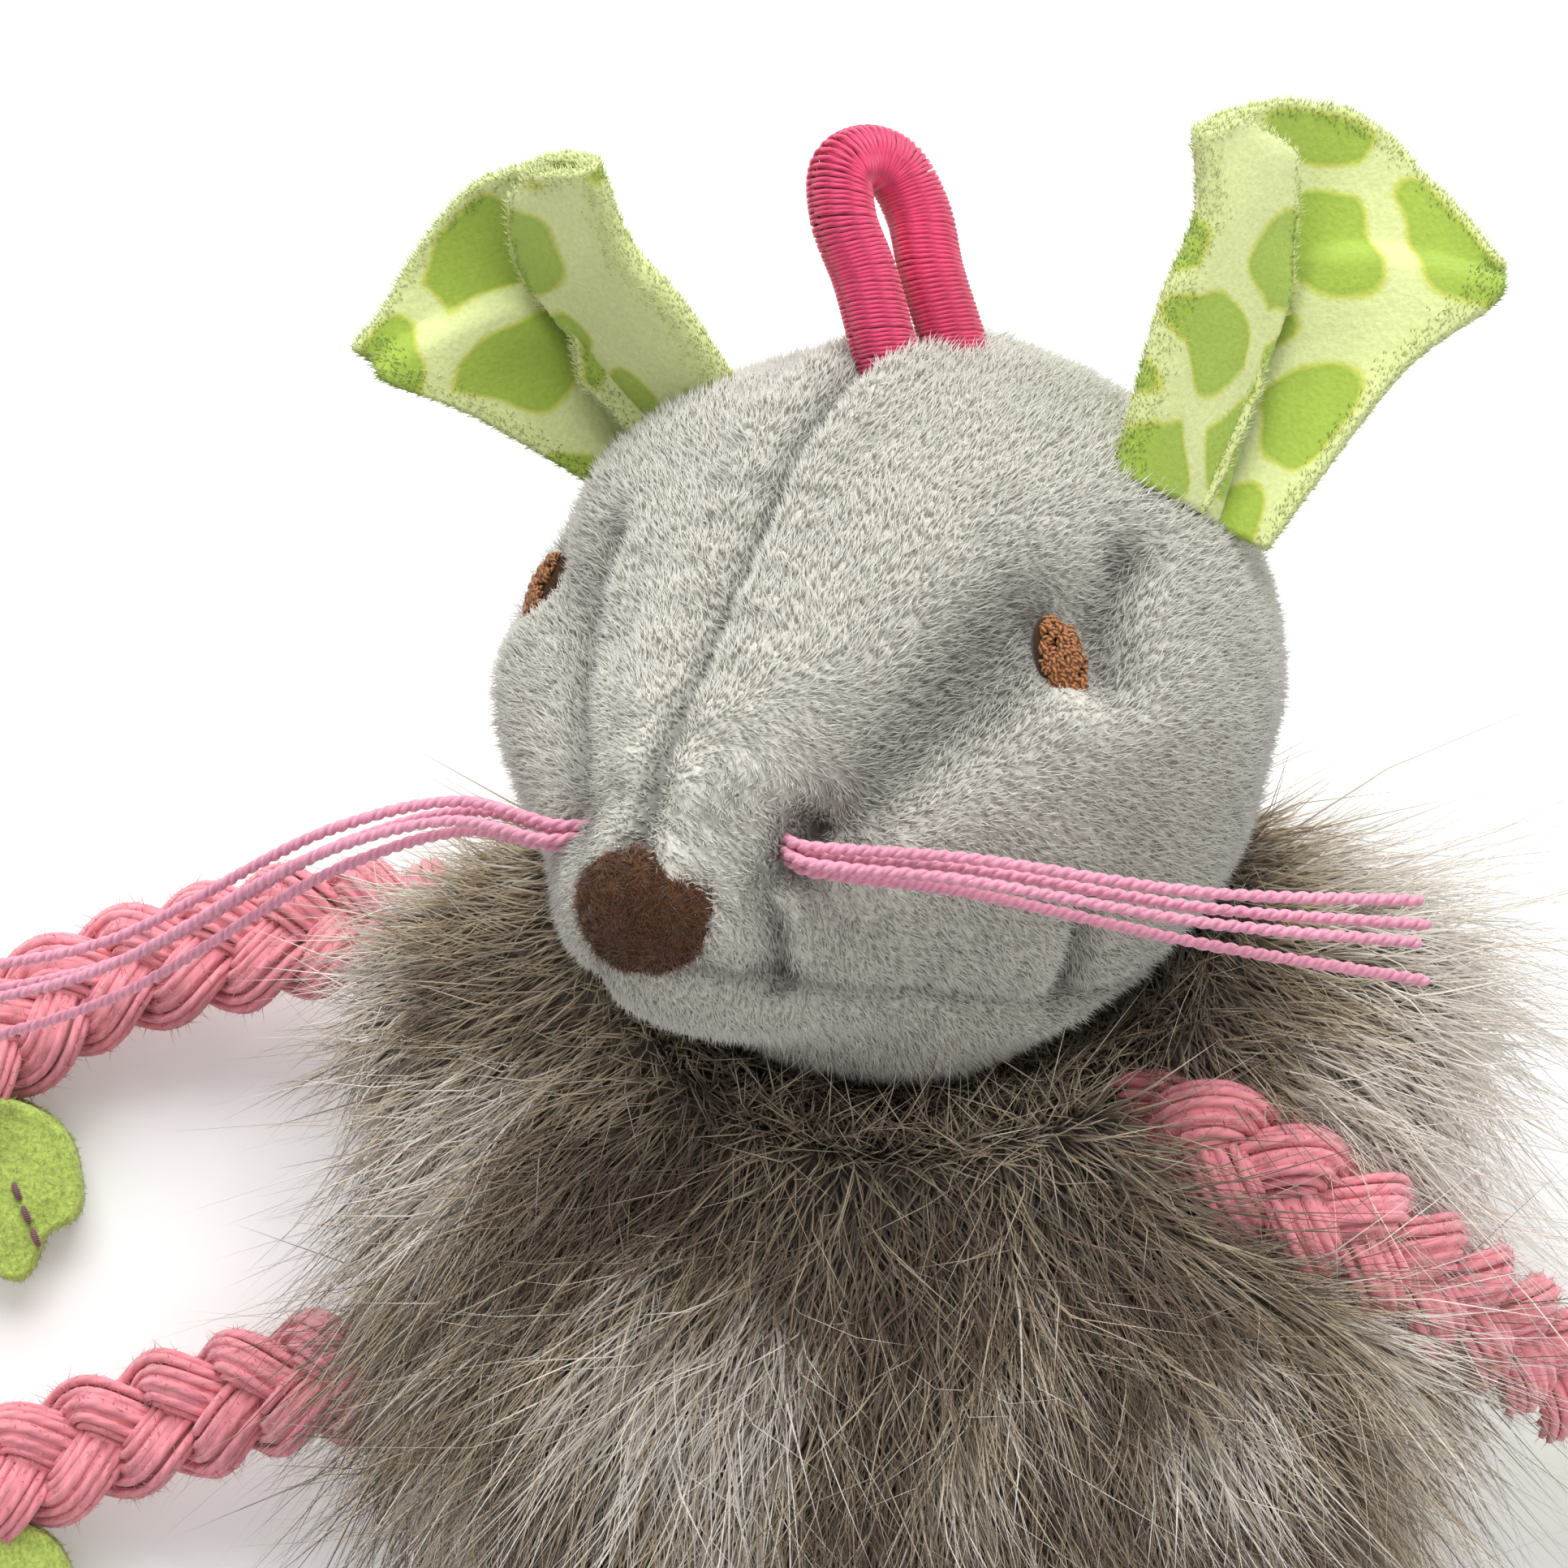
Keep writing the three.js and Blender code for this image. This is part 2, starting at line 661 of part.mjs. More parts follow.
function pawPieces(limb) {
  const { wrist, across, matrix } = pawFrame(limb);
  const moves = anglesAcross(pawFlapAngles, pawSteps).map((angle) => turnAbout(wrist, across, angle));
  const cordEnd = sweptSolid(limbShape(limb, seamGap + facetAllowance, limbColumns, limbRows), moves);
  const layer = (low) => {
    const felt = new THREE.ExtrudeGeometry(pawOutline(), { depth: pawFeltThickness, bevelEnabled: false });
    return solidOf(felt.translate(0, 0, low).applyMatrix4(matrix)).subtract(cordEnd);
  };
  return [
    piece(`${limb.paw}_front`, layer(seamGap / 2), greenFelt),
    piece(`${limb.paw}_back`, layer(-seamGap / 2 - pawFeltThickness), greenFelt),
  ];
}

// Body: two pile panels that meet at the side seam, open at the neck, over one filling

function neckThread() {
  const ring = new THREE.TorusGeometry(neckThreadRadius, neckThreadThickness / 2, cordSides, roundSides);
  ring.applyQuaternion(new THREE.Quaternion().setFromUnitVectors(zAxis, neckAxis));
  return ring.translate(neckCentre.x, neckCentre.y, neckCentre.z);
}

// What the cover makes room for: the limbs and the head in their moves
function coverHollows() {
  return limbs.map(limbClearance).reduce((joined, hollow) => joined.add(hollow), headClearance());
}

// What the filling makes room for: each limb with more room about it, the head, and the neck thread
function fillingHollows() {
  const threadSwing = neckThreadThickness + neckThreadRadius * Math.sin(radians(neckNodAngles[1]));
  const threadStart = neckCentre.clone().addScaledVector(neckAxis, -threadSwing);
  const threadReach = neckThreadRadius + neckThreadThickness;
  const threadHollow = cylinderAlong(threadStart, neckAxis, threadReach, 2 * threadSwing, roundSides);
  return limbs
    .map((limb) => solidOf(limbShape(limb, fillingAllowance, limbColumns, hollowRows)))
    .concat(solidOf(threadHollow))
    .reduce((joined, hollow) => joined.add(hollow), headClearance());
}

function bodyPieces() {
  const outer = solidOf(bodyShape(0, bodyColumns, bodyRows));
  const inner = solidOf(bodyShape(bodyCoverThickness, innerColumns, innerRows));
  const core = solidOf(bodyShape(bodyCoverThickness + seamGap + facetAllowance, innerColumns, innerRows));
  const cover = outer.subtract(inner).subtract(coverHollows());
  const halfGap = seamGap / 2;
  return [
    piece("body_panel_front", cover.intersect(slab(seamHeight + halfGap, cutOverrun)), longPile),
    piece("body_panel_back", cover.intersect(slab(0, seamHeight - halfGap)), longPile),
    piece("body_filling", core.subtract(fillingHollows()), stuffing),
    piece("neck_thread", neckThread(), greyThread),
  ];
}

// Assembly

head.add(
  ...headPieces(),
  ...facePieces(),
  ...ears.flatMap(earLayers),
  ...whiskers("left", -1),
  ...whiskers("right", 1),
  piece("elastic_loop", roundedAlong(loopCurve(), () => elasticRadius, limbColumns, loopRows), crimsonElastic),
);

const group = new THREE.Group();
group.add(head, ...bodyPieces());
for (const limb of limbs) {
  group.add(piece(limb.name, limbShape(limb, 0, limbColumns, limbRows), pinkCotton), ...pawPieces(limb));
}

// The origin is on the floor, under the middle of the toy's outline
group.updateMatrixWorld(true);
const outline = new THREE.Box3().setFromObject(group, true);
const middle = outline.getCenter(new THREE.Vector3());
group.position.set(-middle.x, -middle.y, -outline.min.z);

export default group;
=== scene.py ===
"""A plush mouse for cats: its looks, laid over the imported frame.

The toy lies on its back with its face up. Metres, in the frame of the solids: X to the viewer's right,
Y from feet to head, Z up. Left and right are the viewer's.
"""
import json
from functools import partial
from math import cos, pi, radians, sin

import bmesh
import bpy
import numpy as np
from mathutils import Matrix, noise


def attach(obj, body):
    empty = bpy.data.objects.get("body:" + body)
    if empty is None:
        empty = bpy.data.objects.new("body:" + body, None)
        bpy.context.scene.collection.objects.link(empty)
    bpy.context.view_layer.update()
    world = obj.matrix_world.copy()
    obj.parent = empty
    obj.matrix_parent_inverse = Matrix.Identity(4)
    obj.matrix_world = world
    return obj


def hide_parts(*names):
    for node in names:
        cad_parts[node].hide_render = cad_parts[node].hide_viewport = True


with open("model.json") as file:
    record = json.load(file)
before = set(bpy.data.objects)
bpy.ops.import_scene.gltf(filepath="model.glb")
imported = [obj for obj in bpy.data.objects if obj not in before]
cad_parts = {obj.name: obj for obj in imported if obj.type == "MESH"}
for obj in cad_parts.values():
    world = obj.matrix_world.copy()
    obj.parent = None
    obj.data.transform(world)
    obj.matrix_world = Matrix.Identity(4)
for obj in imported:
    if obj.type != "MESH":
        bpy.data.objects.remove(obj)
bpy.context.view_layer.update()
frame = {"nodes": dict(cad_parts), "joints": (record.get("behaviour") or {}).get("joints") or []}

bl_info = {
    "name": "Plush mouse for cats",
    "version": (1, 0, 0),
    "blender": (4, 5, 0),
    "location": "3D view, sidebar, Plush mouse",
    "description": "Covers, pile, plaits, felt and threads of a plush mouse on a fixed frame",
    "category": "Add Mesh",
}

MM = 0.001
FLOOR_CLEAR = 0.3 * MM


def joint_place(name, key="pos_m"):
    """Where a joint's axis stands in the frame, or with the key axis, which way it points."""
    return np.array(next(joint[key] for joint in frame["joints"] if joint["name"] == name))


# Head: the middle of the skull, its half sizes, and its turn in the frame
HEAD_PLACE = joint_place("head_turn") + 24.6 * MM * joint_place("head_turn", "axis")
HEAD_HALF = np.array((25.8, 24.6, 24.4)) * MM
SNOUT_LENGTH = 13.5 * MM
SNOUT_SPREAD = radians(24)
HEAD_TURN = np.array(
    Matrix.Rotation(radians(-32), 3, "Y")
    @ Matrix.Rotation(radians(30), 3, "X")
    @ Matrix.Rotation(radians(-10), 3, "Z")
)
HEAD_COVER_AREA = 8600 * MM**2

# Body: the frame's place of the point on the floor under its middle, then its half sizes
PART_PLACE = HEAD_PLACE - np.array((-0.4, 35.8, 39)) * MM
BODY_HALF_LENGTH = 35 * MM
BODY_HALF_WIDTH = 35 * MM
BODY_FRONT_DEPTH = 24 * MM
BODY_BACK_DEPTH = 21.5 * MM
BODY_SEAM_HEIGHT = 21 * MM
BODY_PLAN_POWER = 2.6
BODY_COVER_INSET = 1.6 * MM
BODY_COVER_AREA = 15000 * MM**2
BODY_COVER_GRAIN = 1.1 * MM

# Camera: what it looks at, seen from the part's place, its distance, and the width that it sees there
CAMERA_TARGET = np.array((-8.5, 33, 25)) * MM
CAMERA_BACK = np.array((0, -0.17365, 0.98481))
CAMERA_DISTANCE = 380 * MM
CAMERA_VIEW_WIDTH = 106.26 * MM
CAMERA_FILM_WIDTH = 36
CAMERA_NEAREST = 10 * MM

# Studio: half the floor's side, how much lighter than it reflects the paper is seen, and the sky's level
FLOOR_HALF = 2.5
PAPER_GLOW = 0.14
SKY_LEVEL = 0.58
LAMP_TARGET = np.array((0, 20, 20)) * MM
# Each lamp's place and side in metres, and its power in watts
LAMPS = (("key", (-0.02, 0.82, 0.72), 0.9, 14.5), ("fill", (0.7, -0.45, 0.6), 0.7, 2.0))

# Whiskers, in the head's own frame: each side's route, and how far its threads fan out
WHISKER_TILT, WHISKER_RISE = 15.7, 17
WHISKER_ROOT_CIRCLE = 0.9
WHISKER_ROOT_SINK = 1.1
WHISKER_ROUTES = {
    "right": (1, ((17.4, 0.6, 27.3), (29.8, -3.6, 21.1), (40.6, -7.6, 12.5))),
    "left": (-1, ((-16.1, 2.7, 29.7), (-25.8, -0.1, 30.1), (-43.4, -9.2, 31.5), (-57.1, -13.3, 31.8))),
}
WHISKER_FAN = ((1.7, 0.5), (0.4, 1), (-2.2, -0.4), (0, -1))
WHISKER_PLIES = 2
WHISKER_TWIST = 1.9 * MM

# Limbs: root and route in the frame of the solids, then the way the paw points
LIMB_LENGTH = 41
LIMB_REST_HEIGHT = 4.9
LIMB_SEWN_IN = 4.5
LIMBS = {
    "arm_left": (
        "hand_left",
        ((-0.173, 0.045, 0.5), (-0.441, 0.02, 0.82), (-0.68, -0.045, 0.96), (-0.9, -0.19, 1)),
        (0.3, -0.95, -0.19)),
    "arm_right": (
        "hand_right",
        ((0.205, -0.105, 0.03), (0.412, -0.212, 0.25), (0.583, -0.285, 0.53), (0.693, -0.341, 0.75)),
        (0.75, -0.35, -0.56)),
    "leg_left": (
        "foot_left",
        ((-0.33, -0.035, 0.55), (-0.534, -0.09, 0.85), (-0.734, -0.15, 0.97), (-0.91, -0.21, 1)),
        (0.45, -0.88, -0.19)),
    "leg_right": (
        "foot_right",
        ((0.16, -0.19, 0.5), (0.33, -0.38, 0.83), (0.5, -0.56, 0.97), (0.65, -0.72, 1)),
        (0.9, -0.35, -0.19)),
}
PAW_LENGTH, PAW_WIDTH = 14.5, 13

# Ears, in the head's own frame: side, height, how far the corners drop and how far the outer one spreads,
# then tilt, rise, lean and twist
EARS = {
    "ear_left": (-1, 20, 0.1, 0.04, 96, 49, (0.23, -0.04, 0.39), 11),
    "ear_right": (1, 24.5, 0.24, 0.18, 105, 38.5, (-0.53, 0, -0.15), -33),
}
EAR_ROOT_WIDTH, EAR_TOP_WIDTH = 12, 21.5
EAR_ROOT_FOLD, EAR_TOP_FOLD = 4.2, 5.5
# Where the cut edge of each ear's folded flap runs: up the ear, and across it towards the inner side
EAR_FLAPS = {
    "ear_left": ((0, -0.5), (0.28, -0.4), (0.45, -0.22), (0.74, 0.07), (0.92, 0.37), (1, 0.66)),
    "ear_right": ((0, -0.4), (0.22, -0.3), (0.45, -0.07), (0.6, 0.2), (0.84, 0.43), (0.93, 0.75), (1, 0.93)),
}

# Nose, in the head's own frame: its half sizes and its place, in millimetres
NOSE_HALF = np.array((4.5, 3.75))
NOSE_SHIFT = np.array((0.5, 0.7))
# From its middle over the rim to underneath: the share of its half sizes, and how high in millimetres
NOSE_PROFILE = (
    (0, 1.1), (0.3, 1.06), (0.55, 0.96), (0.75, 0.8), (0.88, 0.56), (0.96, 0.22), (1, -0.2), (0.98, -0.8),
    (0.9, -1.3), (0.5, -1.6), (0, -1.7),
)

# Eyes, in the head's own frame: the tilt on each side
EYE_TILTS = {-1: 66.0, 1: 58.5}
EYE_RISE = 26.5
EYE_STITCHES = 125
# The pad under the stitches, from its middle over the rim: the share of its half sizes, and how high
EYE_PAD_PROFILE = ((0, 0.95), (0.4, 0.9), (0.7, 0.75), (0.9, 0.5), (1, 0.15), (0.9, -0.7), (0, -1.0))

# Elastic loop, in the head's own frame
LOOP_TILT, LOOP_RISE, LOOP_TWIST, LOOP_LEAN = 100, 87, 62, -0.35
LOOP_HEIGHT, LOOP_HALF_SPACING = 11.6, 2.7
LOOP_PITCH = 0.3 * MM
LOOP_SHARES = ((1, -0.25), (1, 0), (0.96, 0.33), (1.08, 0.68), (0.74, 0.93))


def linear(code):
    """An sRGB colour, written as a hex number, in the linear values that Blender works in."""
    shares = [((code >> shift) & 255) / 255 for shift in (16, 8, 0)]
    return tuple(s / 12.92 if s <= 0.04045 else ((s + 0.055) / 1.055) ** 2.4 for s in shares)


def add(tree, kind, inputs=(), stops=(), **settings):
    """Adds a node with its settings, its colour stops and its inputs, which go by name or in order.

    An input is a value, or the node or output that feeds it. A stop is its place and its colour.
    """
    node = tree.nodes.new(kind)
    for name, value in settings.items():
        setattr(node, name, value)
    for _ in stops[2:]:
        node.color_ramp.elements.new(0.5)
    if stops:
        for element, (where, colour) in zip(node.color_ramp.elements, stops):
            element.position = where
            element.color = (*linear(colour), 1) if isinstance(colour, int) else (*colour, 1)
    for key, value in dict(inputs if isinstance(inputs, dict) else enumerate(inputs)).items():
        if isinstance(value, bpy.types.Node):
            value = next(output for output in value.outputs if output.enabled)
        if isinstance(value, bpy.types.NodeSocket):
            tree.links.new(value, node.inputs[key])
        else:
            node.inputs[key].default_value = value
    return node


# Shapes


def unit(vectors):
    """The same directions, each of length 1."""
    return vectors / np.linalg.norm(vectors, axis=-1, keepdims=True)


def head_direction(tilt, rise):
    """A direction from the head's middle: degrees off the nose, and degrees round it from the right."""
    tilt, rise = np.radians(tilt), np.radians(rise)
    return np.stack((np.sin(tilt) * np.cos(rise), np.sin(tilt) * np.sin(rise), np.cos(tilt)), -1)


def on_side(side, rise):
    """Mirrors a rise to the left for side -1."""
    return rise if side > 0 else 180 - rise


def head_reach(directions):
    """How far the head's surface is from its middle in each direction."""
    off_snout = np.arccos(np.clip(directions[..., 2], -1, 1)) / SNOUT_SPREAD
    return 1 / np.linalg.norm(directions / HEAD_HALF, axis=-1) + SNOUT_LENGTH * np.exp(-off_snout**2)


def head_point(directions, outset=0):
    """Points on the head in its own frame, moved out by outset."""
    return directions * (head_reach(directions) + outset)[..., None]


def from_head(points):
    """Points of the head's own frame, in the frame."""
    return points @ HEAD_TURN.T + HEAD_PLACE


def into_head(points):
    """Points of the frame, in the head's own frame."""
    return (points - HEAD_PLACE) @ HEAD_TURN


def smooth_route(points, count):
    """Points evenly spaced along the smooth curve through the given ones."""
    points = np.array(points, float)
    ends = (2 * points[0] - points[1], 2 * points[-1] - points[-2])
    knots = np.vstack((ends[0], points, ends[1]))
    fine = []
    for a, b, c, d in zip(knots, knots[1:], knots[2:], knots[3:]):
        before, here, after = (np.linalg.norm(v) ** 0.5 for v in (b - a, c - b, d - c))
        leave = ((b - a) / before - (c - a) / (before + here) + (c - b) / here) * here
        arrive = ((c - b) / here - (d - b) / (here + after) + (d - c) / after) * here
        t = np.linspace(0, 1, 60, endpoint=False)[:, None]
        curved = (3 * (c - b) - 2 * leave - arrive) * t**2
        fine.append(b + leave * t + curved + (2 * (b - c) + leave + arrive) * t**3)
    fine = np.vstack(fine + [points[-1:]])
    far = np.concatenate(((0,), np.cumsum(np.linalg.norm(np.diff(fine, axis=0), axis=1))))
    even = np.linspace(0, far[-1], count)
    return np.stack([np.interp(even, far, fine[:, i]) for i in range(3)], 1)


def route_frames(route, up):
    """Along, side and up directions at each point of a route."""
    along = unit(np.gradient(route, axis=0))
    side = unit(np.cross(along, up))
    return along, side, np.cross(side, along)


def lattice(name, points):
    """A mesh over rows and columns of points with its map over it."""
    rows, columns = points.shape[0] - 1, points.shape[1] - 1
    index = np.arange((rows + 1) * (columns + 1)).reshape(rows + 1, columns + 1)
    quads = np.stack((index[:-1, :-1], index[:-1, 1:], index[1:, 1:], index[1:, :-1]), -1).reshape(-1, 4)
    mesh = bpy.data.meshes.new(name)
    mesh.from_pydata(points.reshape(-1, 3).tolist(), [], quads.tolist())
    shares = (np.linspace(0.01, 0.99, count + 1) for count in (columns, rows))
    spread = np.stack(np.meshgrid(*shares), -1)
    mesh.uv_layers.new(name="OFBake").data.foreach_set("uv", spread.reshape(-1, 2)[quads.ravel()].ravel())
    return mesh


def smooth_shaded(mesh):
    """Shades a mesh as one smooth surface."""
    mesh.polygons.foreach_set("use_smooth", [True] * len(mesh.polygons))
    return mesh


def joined(name, meshes):
    """One mesh made of several."""
    work = bmesh.new()
    for mesh in meshes:
        work.from_mesh(mesh)
    whole = bpy.data.meshes.new(name)
    work.to_mesh(whole)
    work.free()
    return whole


def welded(mesh):
    """Merges the points that meet and turns the faces of the closed shell outwards."""
    work = bmesh.new()
    work.from_mesh(mesh)
    bmesh.ops.remove_doubles(work, verts=work.verts, dist=1e-7)
    bmesh.ops.dissolve_degenerate(work, edges=work.edges, dist=1e-8)
    bmesh.ops.recalc_face_normals(work, faces=work.faces)
    work.to_mesh(mesh)
    work.free()
    return smooth_shaded(mesh)


def places(mesh):
    """The points of a mesh."""
    flat = np.empty(len(mesh.vertices) * 3)
    mesh.vertices.foreach_get("co", flat)
    return flat.reshape(-1, 3)


def move_to(mesh, points):
    """Moves the points of a mesh."""
    mesh.vertices.foreach_set("co", np.ascontiguousarray(points, float).ravel())
    mesh.update()


def keep(mesh, name, values):
    """Stores a number or a direction at each point of a mesh."""
    values = np.asarray(values, float)
    kind, field = ("FLOAT_VECTOR", "vector") if values.ndim == 2 else ("FLOAT", "value")
    store = mesh.attributes.get(name) or mesh.attributes.new(name, kind, "POINT")
    store.data.foreach_set(field, values.ravel())


def keep_all(mesh, **values):
    """Stores several of them under their names. One number stands for every point."""
    for name, value in values.items():
        keep(mesh, name, np.broadcast_to(value, len(mesh.vertices)) if np.ndim(value) == 0 else value)


def lumps(points, size, seed, octaves=2):
    """Smooth random values from about -1 to 1, with lumps of the given size."""
    shifted = points / size + seed * 17.3
    return np.array([noise.fractal(p, 0.8, 2, octaves) for p in shifted])


def normals(mesh):
    """Which way the surface faces at each point of a mesh."""
    flat = np.empty(len(mesh.vertices) * 3)
    mesh.vertex_normals.foreach_get("vector", flat)
    return flat.reshape(-1, 3)


def along_surface(directions, surface_normals):
    """Directions laid down onto a surface."""
    flat = directions - surface_normals * (directions * surface_normals).sum(-1, keepdims=True)
    return flat / np.maximum(np.linalg.norm(flat, axis=-1, keepdims=True), 1e-9)


def ease(values, low, high):
    """0 up to low, 1 from high on, and a smooth rise between."""
    t = np.clip((values - low) / (high - low), 0, 1)
    return t * t * (3 - 2 * t)


def threads(name, lines):
    """A mesh of lines only, each given as its points and its thickness there."""
    mesh = bpy.data.meshes.new(name)
    points = np.vstack([line for line, _ in lines])
    starts = np.cumsum([0] + [len(line) for line, _ in lines])
    edges = [(i, i + 1) for a, b in zip(starts, starts[1:]) for i in range(a, b - 1)]
    mesh.from_pydata(points.tolist(), edges, [])
    keep(mesh, "thick", np.concatenate([thick for _, thick in lines]))
    return mesh


def tapered(radius, count, ends=2):
    """One radius all along a thread, drawn in to nothing at both its ends."""
    radii = np.full(count, radius)
    shares = np.sqrt(1 - (1 - np.arange(ends + 1) / (ends + 1)) ** 2)
    radii[: ends + 1] *= shares
    radii[-ends - 1 :] *= shares[::-1]
    return radii


# Pieces


def show(name, mesh):
    """Puts a mesh in the scene as a piece."""
    piece = bpy.data.objects.new(name, mesh)
    bpy.context.scene.collection.objects.link(piece)
    return piece


def evaluated(piece):
    """Turns a piece with its modifiers into a plain mesh and takes the modifiers off."""
    scene_now = bpy.context.evaluated_depsgraph_get()
    mesh = bpy.data.meshes.new_from_object(piece.evaluated_get(scene_now))
    piece.modifiers.clear()
    piece.data = mesh
    mesh.name = piece.name
    return piece


def grow(name, mesh, tree, **settings):
    """Runs a node tree on a mesh and returns the result as a plain piece."""
    piece = show(name, mesh)
    modifier = piece.modifiers.new("Making", "NODES")
    modifier.node_group = tree
    for item in tree.interface.items_tree:
        if item.in_out == "INPUT" and item.name in settings:
            modifier[item.identifier] = settings[item.name]
    return evaluated(piece)


def spun(name, lines, sides, finish):
    """Makes round threads of lines."""
    return grow(name, threads(name, lines), tree_of("thread"), Sides=sides, Material=finish)


def fuzz(name, mesh, finish, crowd, long, spread, wide, **others):
    """Grows fibres on a mesh that carries their shares and their comb direction."""
    settings = {"Strands per square metre": crowd, "Length": long, "Length spread": spread, "Width": wide,
                "Material": finish}
    return grow(name, mesh, tree_of("pile"), **settings, **others)


def belongs(piece, body, slot, *nodes):
    """Says which body a piece rides on, and hides the nodes that it replaces. The slot is not used."""
    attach(piece, body)
    if nodes:
        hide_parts(*nodes)
    return piece


def sockets(tree, inputs):
    """Gives a tree a mesh to work on, its other inputs and its result."""
    tree.interface.new_socket("Geometry", in_out="INPUT", socket_type="NodeSocketGeometry")
    for name, kind, value in inputs:
        socket = tree.interface.new_socket(name, in_out="INPUT", socket_type=kind)
        if value is not None:
            socket.default_value = value
    tree.interface.new_socket("Geometry", in_out="OUTPUT", socket_type="NodeSocketGeometry")
    return add(tree, "NodeGroupInput").outputs


# Node trees

# Kinds of nodes and settings that come back often
MATH, VECTOR, RAMP, MIX = "ShaderNodeMath", "ShaderNodeVectorMath", "ShaderNodeValToRGB", "ShaderNodeMix"
TIMES, PLUS, MOST = {"operation": "MULTIPLY"}, {"operation": "ADD"}, {"operation": "MAXIMUM"}
MIXED = {"data_type": "RGBA", "blend_type": "MIX"}
DYED = {"data_type": "RGBA", "blend_type": "MULTIPLY"}


def pile_tree():
    """Strands rooted in a cloth: combed, bent, gathered in tufts and drawn out to a point.

    The cloth carries how thickly it grows, its comb direction, its tone and how long its pile is.
    """
    tree = bpy.data.node_groups.new("Pile on a cloth", "GeometryNodeTree")
    node = partial(add, tree)
    given = sockets(tree, (
        ("Strands per square metre", "NodeSocketFloat", 1e6), ("Length", "NodeSocketFloat", 0.003),
        ("Length spread", "NodeSocketFloat", 0.3), ("Width", "NodeSocketFloat", 0.0001),
        ("Lie", "NodeSocketFloat", 0.5), ("Stray", "NodeSocketFloat", 0.2), ("Bend", "NodeSocketFloat", 0.3),
        ("Curl", "NodeSocketFloat", 0.0),
        ("Tufts per square metre", "NodeSocketFloat", 2e5), ("Tuft pull", "NodeSocketFloat", 0.4),
        ("Tone spread", "NodeSocketFloat", 0.3), ("Steps", "NodeSocketInt", 1), ("Seed", "NodeSocketInt", 1),
        ("Keep clear of", "NodeSocketVector", None), ("Keep clear by", "NodeSocketFloat", 0.0),
        ("Material", "NodeSocketMaterial", None)))
    grow_share, pile, held_tone, comb = (
        node("GeometryNodeInputNamedAttribute", {"Name": name}, data_type=kind)
        for name, kind in (("grow", "FLOAT"), ("pile", "FLOAT"), ("tone", "FLOAT"), ("comb", "FLOAT_VECTOR")))
    seeds = {shift: node(MATH, (given["Seed"], shift), **PLUS) for shift in (0, 1, 2, 3, 4, 5, 6, 7, 11)}
    long_chance, tone_chance, wide_chance, tuft_chance = (
        node("FunctionNodeRandomValue", {2: low, 3: high, "Seed": seeds[shift]}, data_type="FLOAT")
        for low, high, shift in ((-1.0, 1.0, 2), (-0.5, 0.5, 3), (0.7, 1.3, 5), (-0.5, 0.5, 11)))
    astray, side, curl = (
        node("FunctionNodeRandomValue", {0: (-1, -1, -1), 1: (1, 1, 1), "Seed": seeds[shift]},
             data_type="FLOAT_VECTOR")
        for shift in (1, 4, 6))

    roots, tufts = (
        node("GeometryNodeDistributePointsOnFaces", {
            "Mesh": given["Geometry"], "Density": node(MATH, (given[crowd], grow_share), **TIMES),
            "Seed": seeds[shift]})
        for crowd, shift in (("Strands per square metre", 0), ("Tufts per square metre", 7)))
    place = node("GeometryNodeInputPosition")
    nearest = node("GeometryNodeSampleNearest", {"Geometry": tufts})
    middle = node("GeometryNodeSampleIndex", {"Geometry": tufts, "Value": place, "Index": nearest},
                  data_type="FLOAT_VECTOR")
    shade = node("GeometryNodeSampleIndex", {"Geometry": tufts, "Value": tuft_chance, "Index": nearest})

    leaning = node(MIX, {0: given["Lie"], 4: roots.outputs["Normal"], 5: comb}, data_type="VECTOR")
    stray = node(VECTOR, {0: astray, "Scale": given["Stray"]}, operation="SCALE")
    direction = node(VECTOR, (node(VECTOR, (leaning, stray), **PLUS),), operation="NORMALIZE")
    spread = node(MATH, (1.0, node(MATH, (given["Length spread"], long_chance), **TIMES)), **PLUS)
    long = node(MATH, (node(MATH, (given["Length"], pile), **TIMES), spread), **TIMES)
    chance = node(MATH, (tone_chance, shade), **PLUS)
    tone = node(MATH, (held_tone, node(MATH, (given["Tone spread"], chance), **TIMES)), **PLUS)
    bends = [node(VECTOR, {0: way, "Scale": node(MATH, (long, given[share]), **TIMES)}, operation="SCALE")
             for way, share in ((comb, "Bend"), (curl, "Curl"))]
    towards = node(VECTOR, (middle, place), operation="SUBTRACT")
    rooted = node("GeometryNodeCaptureAttribute")
    for kind, name, source in (
        ("VECTOR", "Root", place),
        ("VECTOR", "Along", node(VECTOR, {0: direction, "Scale": long}, operation="SCALE")),
        ("VECTOR", "Bend", node(VECTOR, bends, **PLUS)),
        ("VECTOR", "Pull", node(VECTOR, {0: towards, "Scale": given["Tuft pull"]}, operation="SCALE")),
        ("VECTOR", "Side", side), ("FLOAT", "Tone", tone),
        ("FLOAT", "Wide", node(MATH, (given["Width"], wide_chance), **TIMES)),
    ):
        rooted.capture_items.new(kind, name)
        tree.links.new(next(output for output in source.outputs if output.enabled), rooted.inputs[name])
    tree.links.new(roots.outputs["Points"], rooted.inputs["Geometry"])
    held = rooted.outputs

